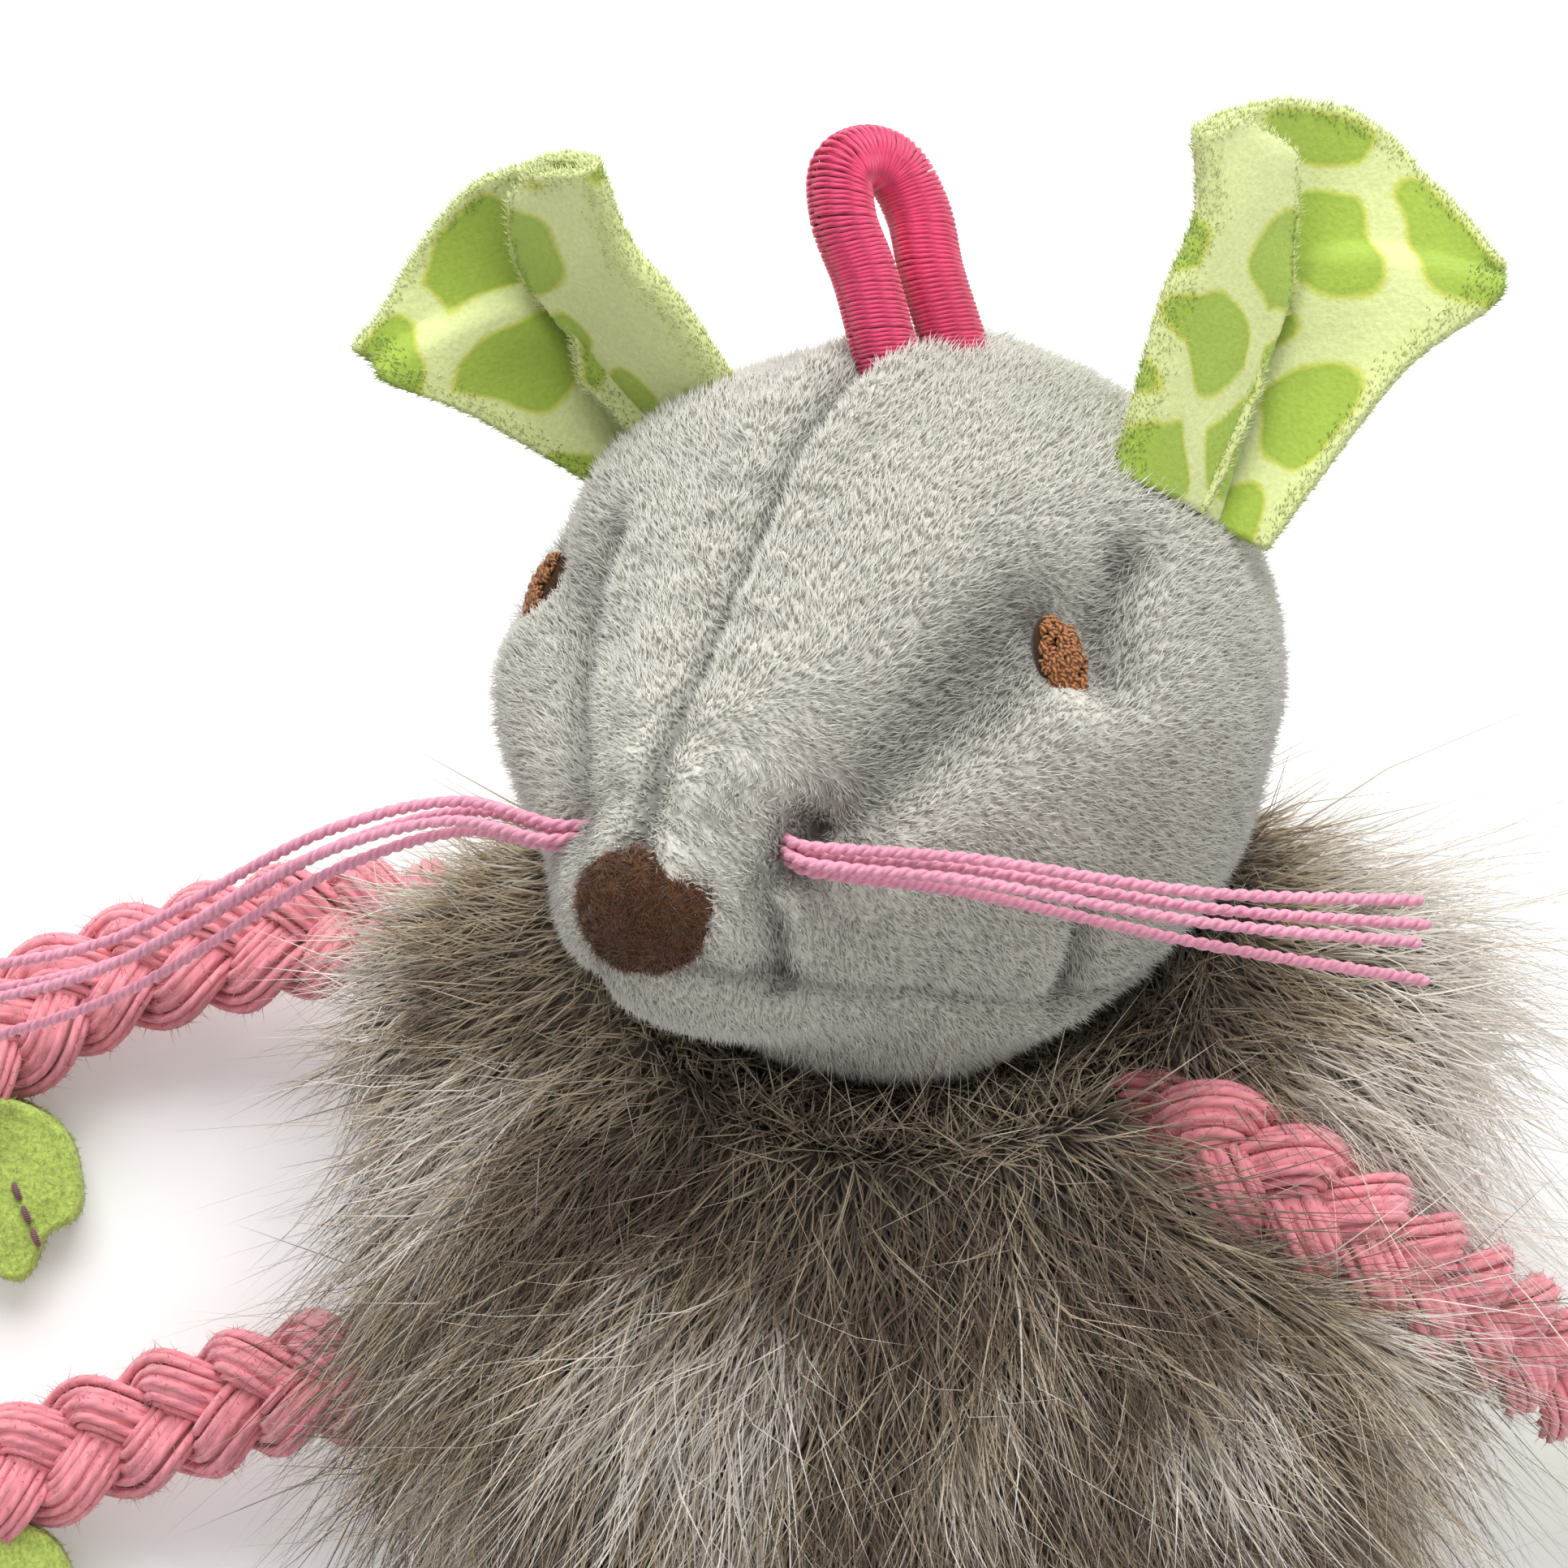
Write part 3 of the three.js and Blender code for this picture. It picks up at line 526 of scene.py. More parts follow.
    spike = node("GeometryNodeMeshCone", {"Vertices": 3, "Side Segments": given["Steps"], "Radius Top": 0.0,
                                          "Radius Bottom": 1.0, "Depth": 1.0}, fill_type="NGON")
    shaped = node("GeometryNodeCaptureAttribute")
    shaped.capture_items.new("VECTOR", "Shape")
    tree.links.new(spike.outputs["Mesh"], shaped.inputs["Geometry"])
    tree.links.new(place.outputs[0], shaped.inputs["Shape"])
    planted = node("GeometryNodeInstanceOnPoints", {"Points": held["Geometry"],
                                                    "Instance": shaped.outputs["Geometry"]})
    real = node("GeometryNodeRealizeInstances", (planted,))

    shape = node("ShaderNodeSeparateXYZ", (shaped.outputs["Shape"],)).outputs
    share, squared = shape[2], node(MATH, (shape[2], shape[2]), **TIMES)
    first = node(VECTOR, (node(VECTOR, (held["Along"], held["Side"]), operation="CROSS_PRODUCT"),),
                 operation="NORMALIZE")
    second = node(VECTOR, (node(VECTOR, (held["Along"], first), operation="CROSS_PRODUCT"),),
                  operation="NORMALIZE")
    section = node(VECTOR, [node(VECTOR, {0: way, "Scale": size}, operation="SCALE")
                            for way, size in ((first, shape[0]), (second, shape[1]))], **PLUS)
    full = node(MATH, (held["Wide"], node(MATH, (1.0, share), **PLUS)), **TIMES)
    leave = node(VECTOR, (held["Bend"], held["Pull"]), **PLUS)
    bent, ahead, across = (node(VECTOR, {0: way, "Scale": size}, operation="SCALE")
                           for way, size in ((leave, squared), (held["Along"], share), (section, full)))
    spine = node(VECTOR, (held["Root"], ahead), **PLUS)
    there = node(VECTOR, (node(VECTOR, (spine, bent), **PLUS), across), **PLUS)
    off = node(VECTOR, (there, given["Keep clear of"]), operation="SUBTRACT")
    far = node(VECTOR, (off,), operation="LENGTH")
    push = node(MATH, (1.0, node(MATH, (given["Keep clear by"], far), operation="DIVIDE")), **MOST)
    pushed = node(VECTOR, {0: off, "Scale": push}, operation="SCALE")
    clear = node("ShaderNodeSeparateXYZ", (node(VECTOR, (given["Keep clear of"], pushed), **PLUS),)).outputs
    above = node("ShaderNodeCombineXYZ", (clear[0], clear[1], node(MATH, (clear[2], FLOOR_CLEAR), **MOST)))
    grown = node("GeometryNodeSetPosition", {"Geometry": real, "Position": above})

    half = node(MATH, (0.5, shape[1]), **TIMES)
    around = node(MATH, (0.02, node(MATH, (shape[0], half), **PLUS)), **TIMES)
    level = node(MATH, (0.88, node("ShaderNodeClamp", (held["Tone"],))), **TIMES)
    level = node(MATH, (node(MATH, (0.06, level), **PLUS), around), **PLUS)
    along = node(MATH, (0.02, node(MATH, (0.96, share), **TIMES)), **PLUS)
    chart = node("ShaderNodeCombineXYZ", (along, level))
    mapped = node("GeometryNodeStoreNamedAttribute", {"Geometry": grown, "Name": "OFBake", "Value": chart},
                  data_type="FLOAT2", domain="CORNER")
    smooth = node("GeometryNodeSetShadeSmooth", {"Geometry": mapped})
    dressed = node("GeometryNodeSetMaterial", {"Geometry": smooth, "Material": given["Material"]})
    node("NodeGroupOutput", (dressed,))
    return tree


def thread_tree():
    """Round threads along lines, each with its own strip of the map from end to end."""
    tree = bpy.data.node_groups.new("Threads on lines", "GeometryNodeTree")
    node = partial(add, tree)
    given = sockets(tree, (("Sides", "NodeSocketInt", 6), ("Material", "NodeSocketMaterial", None)))
    lines = node("GeometryNodeMeshToCurve", (given["Geometry"],))
    share = node("GeometryNodeSplineParameter").outputs["Factor"]
    points = node(MATH, (given["Sides"], 1.0), **PLUS)
    ring = node("GeometryNodeCurveArc", {"Resolution": points, "Radius": 1.0, "Start Angle": 0.0,
                                         "Sweep Angle": 2 * pi})
    along, rows, around = (node("GeometryNodeCaptureAttribute", domain=domain)
                           for domain in ("POINT", "CURVE", "POINT"))
    for noted, geometry, name, value in (
        (along, lines.outputs[0], "Along", share),
        (rows, along.outputs["Geometry"], "Row", node("GeometryNodeInputIndex").outputs[0]),
        (around, ring.outputs["Curve"], "Around", share),
    ):
        noted.capture_items.new("FLOAT", name)
        tree.links.new(geometry, noted.inputs["Geometry"])
        tree.links.new(value, noted.inputs[name])
    thick = node("GeometryNodeInputNamedAttribute", {"Name": "thick"}, data_type="FLOAT")
    swept = node("GeometryNodeCurveToMesh", {"Curve": rows, "Profile Curve": around, "Scale": thick})
    count = node("GeometryNodeAttributeDomainSize", (lines,), component="CURVE").outputs["Spline Count"]
    row = node(MATH, (rows.outputs["Row"], around.outputs["Around"]), **PLUS)
    strip = node(MATH, (row, count), operation="DIVIDE")
    chart = node("ShaderNodeCombineXYZ", (along.outputs["Along"], strip))
    mapped = node("GeometryNodeStoreNamedAttribute", {"Geometry": swept, "Name": "OFBake", "Value": chart},
                  data_type="FLOAT2", domain="CORNER")
    closed = node("GeometryNodeMergeByDistance", {"Geometry": mapped, "Distance": 1e-6})
    smooth = node("GeometryNodeSetShadeSmooth", {"Geometry": closed})
    real = node("GeometryNodeRealizeInstances", (smooth,))
    dressed = node("GeometryNodeSetMaterial", {"Geometry": real, "Material": given["Material"]})
    node("NodeGroupOutput", (dressed,))
    return tree


# Finishes


def start_finish(name, roughness, sheen=0.0, specular=0.3):
    """A new material, its node tree and its shader. The numbers that are the same all over are set here."""
    material = bpy.data.materials.new(name)
    material.use_nodes = True
    tree = material.node_tree
    tree.nodes.clear()
    shader = add(tree, "ShaderNodeBsdfPrincipled", {
        "Roughness": roughness, "Sheen Weight": sheen, "Sheen Roughness": 0.5,
        "Specular IOR Level": specular})
    add(tree, "ShaderNodeOutputMaterial", {"Surface": shader})
    return material, tree, shader


def set_colour(tree, shader, first, second):
    """Gives the shader the product of two colours."""
    dyed = add(tree, MIX, {0: 1.0, 6: first, 7: second}, **DYED)
    tree.links.new(dyed.outputs[2], shader.inputs["Base Color"])


def set_relief(tree, shader, height, distance, strength=0.6):
    """Raises and lowers the finish by a fine pattern."""
    relief = add(tree, "ShaderNodeBump", {"Strength": strength, "Distance": distance, "Height": height})
    tree.links.new(relief.outputs[0], shader.inputs["Normal"])


def patterns(tree, *sizes_and_details):
    """Noise patterns over the piece, each of its own size."""
    place = add(tree, "ShaderNodeTexCoord").outputs["Object"]
    return [add(tree, "ShaderNodeTexNoise", {"Vector": place, "Scale": 1 / size, "Detail": detail}).outputs[0]
            for size, detail in sizes_and_details]


def chart_axes(tree):
    """The two axes of a strand's or a thread's map: from end to end, and its tone or its row."""
    chart = add(tree, "ShaderNodeUVMap", uv_map="OFBake")
    return add(tree, "ShaderNodeSeparateXYZ", (chart,)).outputs


def grey(level):
    """A grey in linear values."""
    return (level, level, level)


def scaled(colour, factor):
    """A colour made lighter or darker."""
    return tuple(min(1.0, c * factor) for c in colour[:3])


def shades(colour, *factors):
    """Several lighter or darker versions of a colour."""
    return [scaled(colour, factor) for factor in factors]


def pile_finish(name, root, body, tip, roughness=0.75, sheen=0.15, low=0.7, *kinds):
    """Pile fibres: one colour at the root, one in the middle and one at the tip, each tuft a tone of its own.

    Each of the kinds gives other colours to the fibres whose tone lies past the first of its two limits.
    """
    material, tree, shader = start_finish(name, roughness, sheen, 0.2)
    along, level = chart_axes(tree)[:2]
    fibre = add(tree, RAMP, (along,), ((0.0, root), (0.4, body), (1.0, tip)))
    for (whole, none), stops in kinds:
        patch = add(tree, "ShaderNodeMapRange",
                    (level, min(whole, none), max(whole, none), float(whole < none), float(whole > none)),
                    interpolation_type="SMOOTHSTEP")
        fibre = add(tree, MIX, {0: patch, 6: fibre, 7: add(tree, RAMP, (along,), stops)}, **MIXED)
    tone = add(tree, RAMP, (level,), ((0.0, grey(low)), (0.5, grey(0.5 + low / 2)), (1.0, grey(1.0))))
    set_colour(tree, shader, fibre, tone)
    return material


def cloth_finish(name, colour, roughness=0.9, thread_size=0.4, sheen=0.2, depth=0.1):
    """A knitted or matted cloth: even loops with a slow drift of tone. Its sizes are in millimetres."""
    material, tree, shader = start_finish(name, roughness, sheen, 0.2)
    fine, slow = patterns(tree, (thread_size * MM, 3.0), (14 * MM, 2.0))
    near = add(tree, RAMP, (fine,), ((0.3, scaled(colour, 0.7)), (0.7, scaled(colour, 1.12))))
    set_colour(tree, shader, near, add(tree, RAMP, (slow,), ((0.3, grey(0.88)), (0.7, grey(1.0)))))
    set_relief(tree, shader, fine, depth * MM)
    return material


def darkened(material, attribute, lowest):
    """Paints shade into a finish where an attribute of the mesh is high, as down in a seam or a fold."""
    tree = material.node_tree
    shader = next(node for node in tree.nodes if node.type == "BSDF_PRINCIPLED")
    high = add(tree, "ShaderNodeAttribute", attribute_name=attribute).outputs["Fac"]
    colour = shader.inputs["Base Color"].links[0].from_socket
    set_colour(tree, shader, colour, add(tree, RAMP, (high,), ((0.0, grey(1.0)), (1.0, grey(lowest)))))
    return material


def twisted_finish(name, deep, body, light, length, rows, ply_pitch, roughness=0.8, sheen=0.3):
    """A twisted thread: fine fibres that wind round it, with painted shade between the plies and a painted
    highlight on top.
    """
    material, tree, shader = start_finish(name, roughness, sheen, 0.3)
    node = partial(add, tree)
    along, row = chart_axes(tree)[:2]
    turns = node(MATH, (along, length / ply_pitch), **TIMES)
    strip = node(MATH, (row, float(rows), turns), operation="MULTIPLY_ADD")
    wave = node(MATH, (node(MATH, (strip, 4 * pi), **TIMES),), operation="SINE")
    height = node("ShaderNodeMapRange", (wave, -1.0, 1.0))
    fibres, drift = patterns(tree, (0.3 * MM, 2.0), (6 * MM, 1.0))
    mixed = node(MATH, (fibres, 0.5, height), operation="MULTIPLY_ADD").outputs[0]
    # Painted shade in the grooves between the plies, painted highlight on their crowns
    thread = node(RAMP, (mixed,), ((0.15, deep), (0.6, body), (1.0, light)))
    set_colour(tree, shader, thread, node(RAMP, (drift,), ((0.35, grey(0.86)), (0.65, grey(1.0)))))
    set_relief(tree, shader, mixed, 0.08 * MM, 0.5)
    return material


def measure(name, description, default):
    return bpy.props.FloatProperty(name=name, description=description, default=default, unit="LENGTH")


def number(name, description, default):
    return bpy.props.IntProperty(name=name, description=description, default=default)


def tint(name, description, code):
    return bpy.props.FloatVectorProperty(name=name, description=description, subtype="COLOR", size=3,
                                         min=0, max=1, default=linear(code))


class ToySizes(bpy.types.PropertyGroup):
    """Sizes that a maker of the toy may change."""

    head_pile: measure("Head pile", "Length of the head's plush", 1.15 * MM)
    head_strands: number("Head strands", "Strands in each layer of the head's plush", 42000)
    body_pile: measure("Body pile", "Length of the body's long pile", 10 * MM)
    body_strands: number("Body strands", "Strands in each layer of the body's pile", 13500)
    plait_yarn: measure("Plait yarn", "Radius of a yarn of the plaits", 0.36 * MM)
    plait_period: measure("Plait period", "Length over which a strand comes back", 17.4 * MM)
    whisker: measure("Whisker", "Diameter of a whisker thread", 0.85 * MM)
    elastic: measure("Elastic", "Diameter of the elastic loop", 4.2 * MM)


class ToyColours(bpy.types.PropertyGroup):
    """Colours that a maker of the toy may change."""

    plush: tint("Head plush", "Middle of the head's fibres", 0xD4D1C7)
    pile: tint("Body pile", "Middle of the body's fibres", 0xB9A78A)
    nose: tint("Nose felt", "Brown of the nose", 0x613D20)
    eye: tint("Eye thread", "Copper of the eyes", 0x8E5A2E)
    ear_light: tint("Ear ground", "Ground of the ears' print", 0xDDE6A2)
    ear_dark: tint("Ear blobs", "Blobs of the ears' print", 0xA3BC4C)
    elastic: tint("Elastic", "Crimson of the loop", 0xD83E6B)
    whisker: tint("Whiskers", "Pink of the whiskers", 0xDF97AE)
    plait: tint("Plaits", "Pink of the cotton", 0xE6909B)
    paw: tint("Paws", "Green of the felt", 0xBED56A)


TREES = {}


def tree_of(kind):
    """The tree for pile or for thread, made on its first use."""
    if kind not in TREES:
        TREES[kind] = {"pile": pile_tree, "thread": thread_tree}[kind]()
    return TREES[kind]


# Operators


def shown_rays(tree):
    """1 for the rays that show a thing itself: from the camera, off a gloss or through a clear piece."""
    rays = add(tree, "ShaderNodeLightPath").outputs
    seen = add(tree, MATH, (rays["Is Camera Ray"], rays["Is Glossy Ray"]), **MOST)
    return add(tree, MATH, (seen, rays["Is Transmission Ray"]), **MOST)


def stand(name, data, right, up, back, place):
    """Puts a camera or a lamp in the scene by its three directions and its place."""
    holder = bpy.data.objects.new(name, data)
    bpy.context.scene.collection.objects.link(holder)
    holder.matrix_world = Matrix(np.stack((right, up, back, place), 1).tolist() + [[0, 0, 0, 1]])
    return holder


class TOY_OT_stage(bpy.types.Operator):
    """Adds the floor, the studio light and the camera"""

    bl_idname = "toy.stage"
    bl_label = "Stage and camera"

    def execute(self, context):
        scene = context.scene
        scene.view_settings.view_transform = "Standard"
        back = unit(CAMERA_BACK)
        camera = bpy.data.cameras.new("Camera")
        camera.sensor_width = CAMERA_FILM_WIDTH
        camera.lens = CAMERA_FILM_WIDTH * CAMERA_DISTANCE / CAMERA_VIEW_WIDTH
        camera.clip_start = CAMERA_NEAREST
        right = np.array((1, 0, 0))
        place = PART_PLACE + CAMERA_TARGET + back * CAMERA_DISTANCE
        scene.camera = stand("Camera", camera, right, np.cross(back, right), back, place)

        floor = bpy.data.meshes.new("floor")
        corners = [(x * FLOOR_HALF, y * FLOOR_HALF, 0) for x, y in ((-1, -1), (1, -1), (1, 1), (-1, 1))]
        floor.from_pydata(corners, [], [(0, 1, 2, 3)])
        ground = show("floor", floor)
        # Matt white backdrop paper: diffuse all over, and seen a little lighter than it reflects
        paper, tree, shader = start_finish("backdrop paper", 0.9, 0.0, 0.1)
        shader.inputs["Base Color"].default_value = (*linear(0xF4F4F3), 1)
        grain = add(tree, "ShaderNodeTexNoise", {"Scale": 60.0, "Detail": 2.0})
        set_relief(tree, shader, grain.outputs[0], 0.2 * MM, 0.03)
        lift = add(tree, MATH, (shown_rays(tree), PAPER_GLOW), **TIMES)
        shader.inputs["Emission Color"].default_value = (1, 1, 1, 1)
        tree.links.new(lift.outputs[0], shader.inputs["Emission Strength"])
        floor.materials.append(paper)

        world = bpy.data.worlds.new("Studio")
        world.use_nodes = True
        scene.world = world
        tree = world.node_tree
        tree.nodes.clear()
        level = add(tree, "ShaderNodeMapRange", {0: shown_rays(tree), 3: SKY_LEVEL, 4: 1.0})
        sky = add(tree, "ShaderNodeBackground", {"Color": (1, 1, 1, 1), "Strength": level})
        add(tree, "ShaderNodeOutputWorld", (sky,))

        for name, place, size, power in LAMPS:
            lamp = bpy.data.lights.new(name, "AREA")
            lamp.size = size
            lamp.energy = power
            back = unit(np.array(place) - LAMP_TARGET)
            side = unit(np.cross((0, 1, 0), back))
            stand(name, lamp, side, np.cross(back, side), back, place)
        return {"FINISHED"}


class TOY_OT_whiskers(bpy.types.Operator):
    bl_idname = "toy.whiskers"
    bl_label = "Whiskers"

    def execute(self, context):
        radius = context.scene.toy_sizes.whisker / 2
        colour = context.scene.toy_colours.whisker
        # Polyester embroidery floss, two plies: a painted highlight on the turns and painted shade between
        # them
        finish = twisted_finish("whisker floss", *shades(colour, 0.85, 1.0, 1.12), 60 * MM, WHISKER_PLIES,
                                1.5 * MM, 0.6)
        count = 300
        for side_name, (side, route) in WHISKER_ROUTES.items():
            root = head_point(head_direction(WHISKER_TILT, on_side(side, WHISKER_RISE))) / MM
            heading = unit(np.array(route[0]) - root)
            outside = unit(root)
            upward = unit(np.array((0, 1, 0)) - heading * heading[1])
            outward = np.cross(heading, upward) * side
            bends = [((i + 1) / len(route)) ** 2 for i in range(len(route))]
            for thread, (fan_up, fan_out) in enumerate(WHISKER_FAN):
                turn = thread / len(WHISKER_FAN) * 2 * pi
                shift = (upward * cos(turn) + outward * sin(turn)) * WHISKER_ROOT_CIRCLE
                leave = root + 0.8 * shift - outside * WHISKER_ROOT_SINK
                knots = [leave - 0.4 * shift - outside * 2.4 - heading * 1.6, leave]
                fan = np.array((0, fan_up, fan_out))
                knots += [np.array(place) + shift + fan * bend for place, bend in zip(route, bends)]
                line = from_head(smooth_route(knots, count) * MM)
                along, across, up = route_frames(line, (0, 0, 1))
                length = np.linalg.norm(np.diff(line, axis=0), axis=1).sum()
                wind = np.linspace(0, 2 * pi * length / WHISKER_TWIST, count)[:, None]
                plies = []
                for ply in range(WHISKER_PLIES):
                    off = (across * np.cos(wind + ply * pi) + up * np.sin(wind + ply * pi)) * radius * 0.31
                    plies.append((line + off, tapered(radius * 0.64, count)))
                name = f"whisker_{side_name}_{thread + 1}"
                piece = spun(f"{name}_floss", plies, 6, finish)
                belongs(piece, "head", "whisker_thread", name)
        return {"FINISHED"}


# The cloth lies lower than the solids' face by this much, in millimetres, for the pile to fill
HEAD_COVER_INSET = 0.4

# How far below an eye, in millimetres, the plush still gives way to it
EYE_REACH = 8

# The folds of the head cover: places as tilt and rise in degrees, half width and depth in millimetres
HEAD_FOLDS = (
    # the valley from the whiskers up to the eye, steep on its lower side, and the other side's
    (((17, 21), (24, 26), (34, 30), (46, 34), (56, 35)), 4.0, 3.2),
    (((17, 18), (27, 21), (40, 24), (52, 26)), 1.6, 0.7),
    (((16, 158), (24, 153), (34, 149), (46, 145), (58, 144)), 3.6, 2.0),
    # the crease that sets the snout off from the left cheek, and a faint line beside the seam
    (((11, 141), (17, 143), (33, 146), (47, 138), (56, 130)), 2.0, 2.9),
    (((11, 110), (19, 115), (31, 121), (45, 117)), 1.1, 0.8),
    # the pinch under the right whiskers
    (((16, 20), (11, 4), (12, -18), (15, -50)), 1.2, 2.0),
    (((14, -28), (20, -24)), 3.2, 0.8),
    # the hollow beside each eye
    (((76, 33), (69, 27), (64, 20)), 2.3, 2.7),
    (((76, 147), (70, 153)), 2.4, 1.8),
    (((58.5, 26.5),), 3.0, 0.4),
    # where the threads go in
    (((15.7, 17),), 1.5, 1.1),
    (((15.7, 163),), 1.5, 1.1),
    # the tuck at the chin seam on the right, and the flatter cheek behind it
    (((62, -46), (55, -30), (54, -17)), 1.3, 2.1),
    (((86, -48), (95, -40), (102, -30), (107, -20)), 11.0, 2.3),
    # cheeks and brow stand out
    (((42, 171), (59, 168)), 6.5, -1.6),
    (((24, 62), (34, 66)), 6.0, -1.3),
    (((30, -12), (44, -8)), 6.5, -1.0),
    (((12, 70),), 3.5, -0.5),
    # the flatter crown, and the roots of the loop and ears
    (((98, 72), (100, 100)), 9.0, 0.9),
    (((100, 87),), 3.4, 0.6),
    (((105, 38.5),), 4.0, 0.8),
    (((96, 131),), 4.0, 0.8),
)
SEAM_TURN = radians(44)
FILLING_DEPTH = 1.5 * MM


def seam_distance(points):
    """Distance of points on the head, in millimetres, from the face seam and from the chin seams."""
    x, y = points[..., 0] / MM, points[..., 1] / MM
    face = np.where(y > 0, np.abs(x), 99)
    chin = np.where(y < 6, np.abs(np.abs(x) * sin(SEAM_TURN) + y * cos(SEAM_TURN)), 99)
    return face, chin


def head_relief(directions):
    """How the cover stands in or out of its plain form: seams that pucker, folds, cheeks and lumps."""
    points = head_point(directions)
    relief = lumps(directions * 25, 11, 3) * 0.55 + lumps(directions * 25, 4.5, 5) * 0.18 - HEAD_COVER_INSET
    run = np.arccos(np.clip(directions[..., 2], -1, 1)) * 27
    chin_share = np.where(points[..., 0] > 0, 0.5, 0.2)
    for distance, share in zip(seam_distance(points), (1, chin_share)):
        side = np.where(points[..., 0] > 0, 1.3, 0.2)
        pucker = 1 + 0.75 * np.sin(2 * pi * run / 3.3 + side)
        groove = -1.9 * np.exp(-(distance / 1.25) ** 2)
        groove = groove + 0.5 * np.exp(-((distance - 2.8) / 1.6) ** 2) * pucker
        relief += share * groove
    for places_at, half_width, depth in HEAD_FOLDS:
        knots = head_point(head_direction(*np.array(places_at, float).T))
        line = smooth_route(knots, 24) if len(knots) > 1 else knots
        distance = np.min([np.linalg.norm(points - p, axis=-1) for p in line], axis=0) / MM
        relief -= depth * np.exp(-(distance / half_width) ** 2)
    return relief * MM


class TOY_OT_head_cover(bpy.types.Operator):
    """Sews the head cover of three panels, with its snout, seams and folds"""

    bl_idname = "toy.head_cover"
    bl_label = "Head cover"

    def execute(self, context):
        rows, columns = 150, 210
        tilt = 180 * np.linspace(0, 1, rows + 1) ** 1.2
        rise = np.linspace(0, 360, columns + 1)
        directions = head_direction(*np.meshgrid(tilt, rise, indexing="ij"))
        directions[[0, -1]] = directions[[0, -1], :1]
        directions[:, -1] = directions[:, 0]
        mesh = welded(lattice("head_cover", from_head(head_point(directions))))
        directions = unit(into_head(places(mesh)))
        relief = head_relief(directions)
        move_to(mesh, from_head(head_point(directions, relief)))
        # Knitted ground of polyester plush, seen only between the tufts: grey and matt, with painted shade
        # down the seams and in the folds
        seam = np.min(seam_distance(head_point(directions)), axis=0)
        # Painted shade: how near a seam and how deep in a fold each point lies, for the ground to be darkened
        # there
        keep_all(mesh, seam=np.exp(-(seam**2)), pressed=ease(-relief, 0.5 * MM, 3.2 * MM))
        ground = cloth_finish("plush ground", tuple(context.scene.toy_colours.plush), 0.9, 0.3)
        mesh.materials.append(darkened(darkened(ground, "seam", 0.45), "pressed", 0.6))
        piece = show("head_cover", mesh)
        belongs(piece, "head", "head_plush", "head_panel_right", "head_panel_left", "head_panel_chin")
        return {"FINISHED"}


class TOY_OT_head_pile(bpy.types.Operator):
    """Grows the short plush of the head, combed back from the nose"""

    bl_idname = "toy.head_pile"
    bl_label = "Head plush"

    def execute(self, context):
        cover = bpy.data.objects["head_cover"]
        mesh = cover.data.copy()
        directions = unit(into_head(places(mesh)))
        points = head_point(directions)
        tilt = np.degrees(np.arccos(np.clip(directions[:, 2], -1, 1)))
        back = (directions * directions[:, 2:] - np.array((0, 0, 1))) + np.array((0, -0.22, 0))
        back += 0.35 * np.stack([lumps(directions * 25, 7, s) for s in (11, 12, 13)], 1)
        face, chin = seam_distance(points)
        seam = np.minimum(face, chin)
        back[:, 0] += 0.9 * np.sign(points[:, 0]) * np.exp(-((face / 2) ** 2))
        comb = along_surface(back @ HEAD_TURN.T, normals(mesh))
        grow_share = ease(seam, 0.15, 0.7) * 0.75 + 0.25
        nose_edge = np.linalg.norm((points[:, :2] / MM - NOSE_SHIFT) / NOSE_HALF, axis=1)
        grow_share *= np.where(points[:, 2] > 0, ease(nose_edge, 0.9, 1.0), 1)
        pile = (0.72 + 0.28 * ease(tilt, 8, 40)) * (1 - 0.25 * np.exp(-((seam / 1.6) ** 2)))
        for side, eye_tilt in EYE_TILTS.items():
            eye = head_point(head_direction(eye_tilt, on_side(side, EYE_RISE)))
            up = unit(np.array((0, 1, 0)) - unit(eye) * unit(eye)[1])
            across = np.cross(unit(eye), up)
            off = (points - eye) / MM
            reach = np.sqrt((off @ across / 1.8) ** 2 + (off @ up / 3.3) ** 2)
            reach = np.where(off @ unit(eye) > -EYE_REACH, reach, np.inf)
            grow_share *= ease(reach, 0.72, 0.9)
            pile *= 0.35 + 0.65 * ease(reach, 1.0, 2.0)
            entry = head_point(head_direction(WHISKER_TILT, on_side(side, WHISKER_RISE)))
            hole = np.linalg.norm(points - entry, axis=1) / MM
            grow_share *= ease(hole, 0.6, 1.2)
        tone = 0.95 + 0.15 * lumps(points, 9 * MM, 21) + 0.1 * lumps(points, 3 * MM, 22)
        # Painted shade: the fibres are darker down the seams and deep in the folds and valleys
        pressed = np.empty(len(tone))
        mesh.attributes["pressed"].data.foreach_get("value", pressed)
        tone = tone - 0.3 * np.exp(-(seam / 0.9) ** 2) - 0.95 * pressed
        keep_all(mesh, grow=grow_share, comb=comb, pile=pile, tone=tone)
        sizes = context.scene.toy_sizes
        plush = context.scene.toy_colours.plush
        # Cut polyester plush: dense fine fibres, matt and pale, painted greyer as shade in the seams and
        # folds; roots painted lighter than tips to offset the shade between strands
        finish = pile_finish("head plush", *shades(plush, 1.14, 1.1, 1.07), 0.85, 0.3, 0.62)
        crowd = sizes.head_strands * 1 / HEAD_COVER_AREA
        for layer, (long_share, lie) in enumerate(((1.0, 0.48), (0.9, 0.38), (1.1, 0.58))):
            long = sizes.head_pile * long_share
            piece = fuzz(f"head_plush_{layer + 1}", mesh.copy(), finish, crowd, long, 0.22, 0.066 * MM, **{
                "Lie": lie, "Stray": 0.4, "Bend": 0.25, "Tufts per square metre": 0.8e6, "Tuft pull": 0.3,
                "Tone spread": 0.08, "Steps": 1, "Seed": 30 + layer})
            belongs(piece, "head", "head_plush")
        return {"FINISHED"}


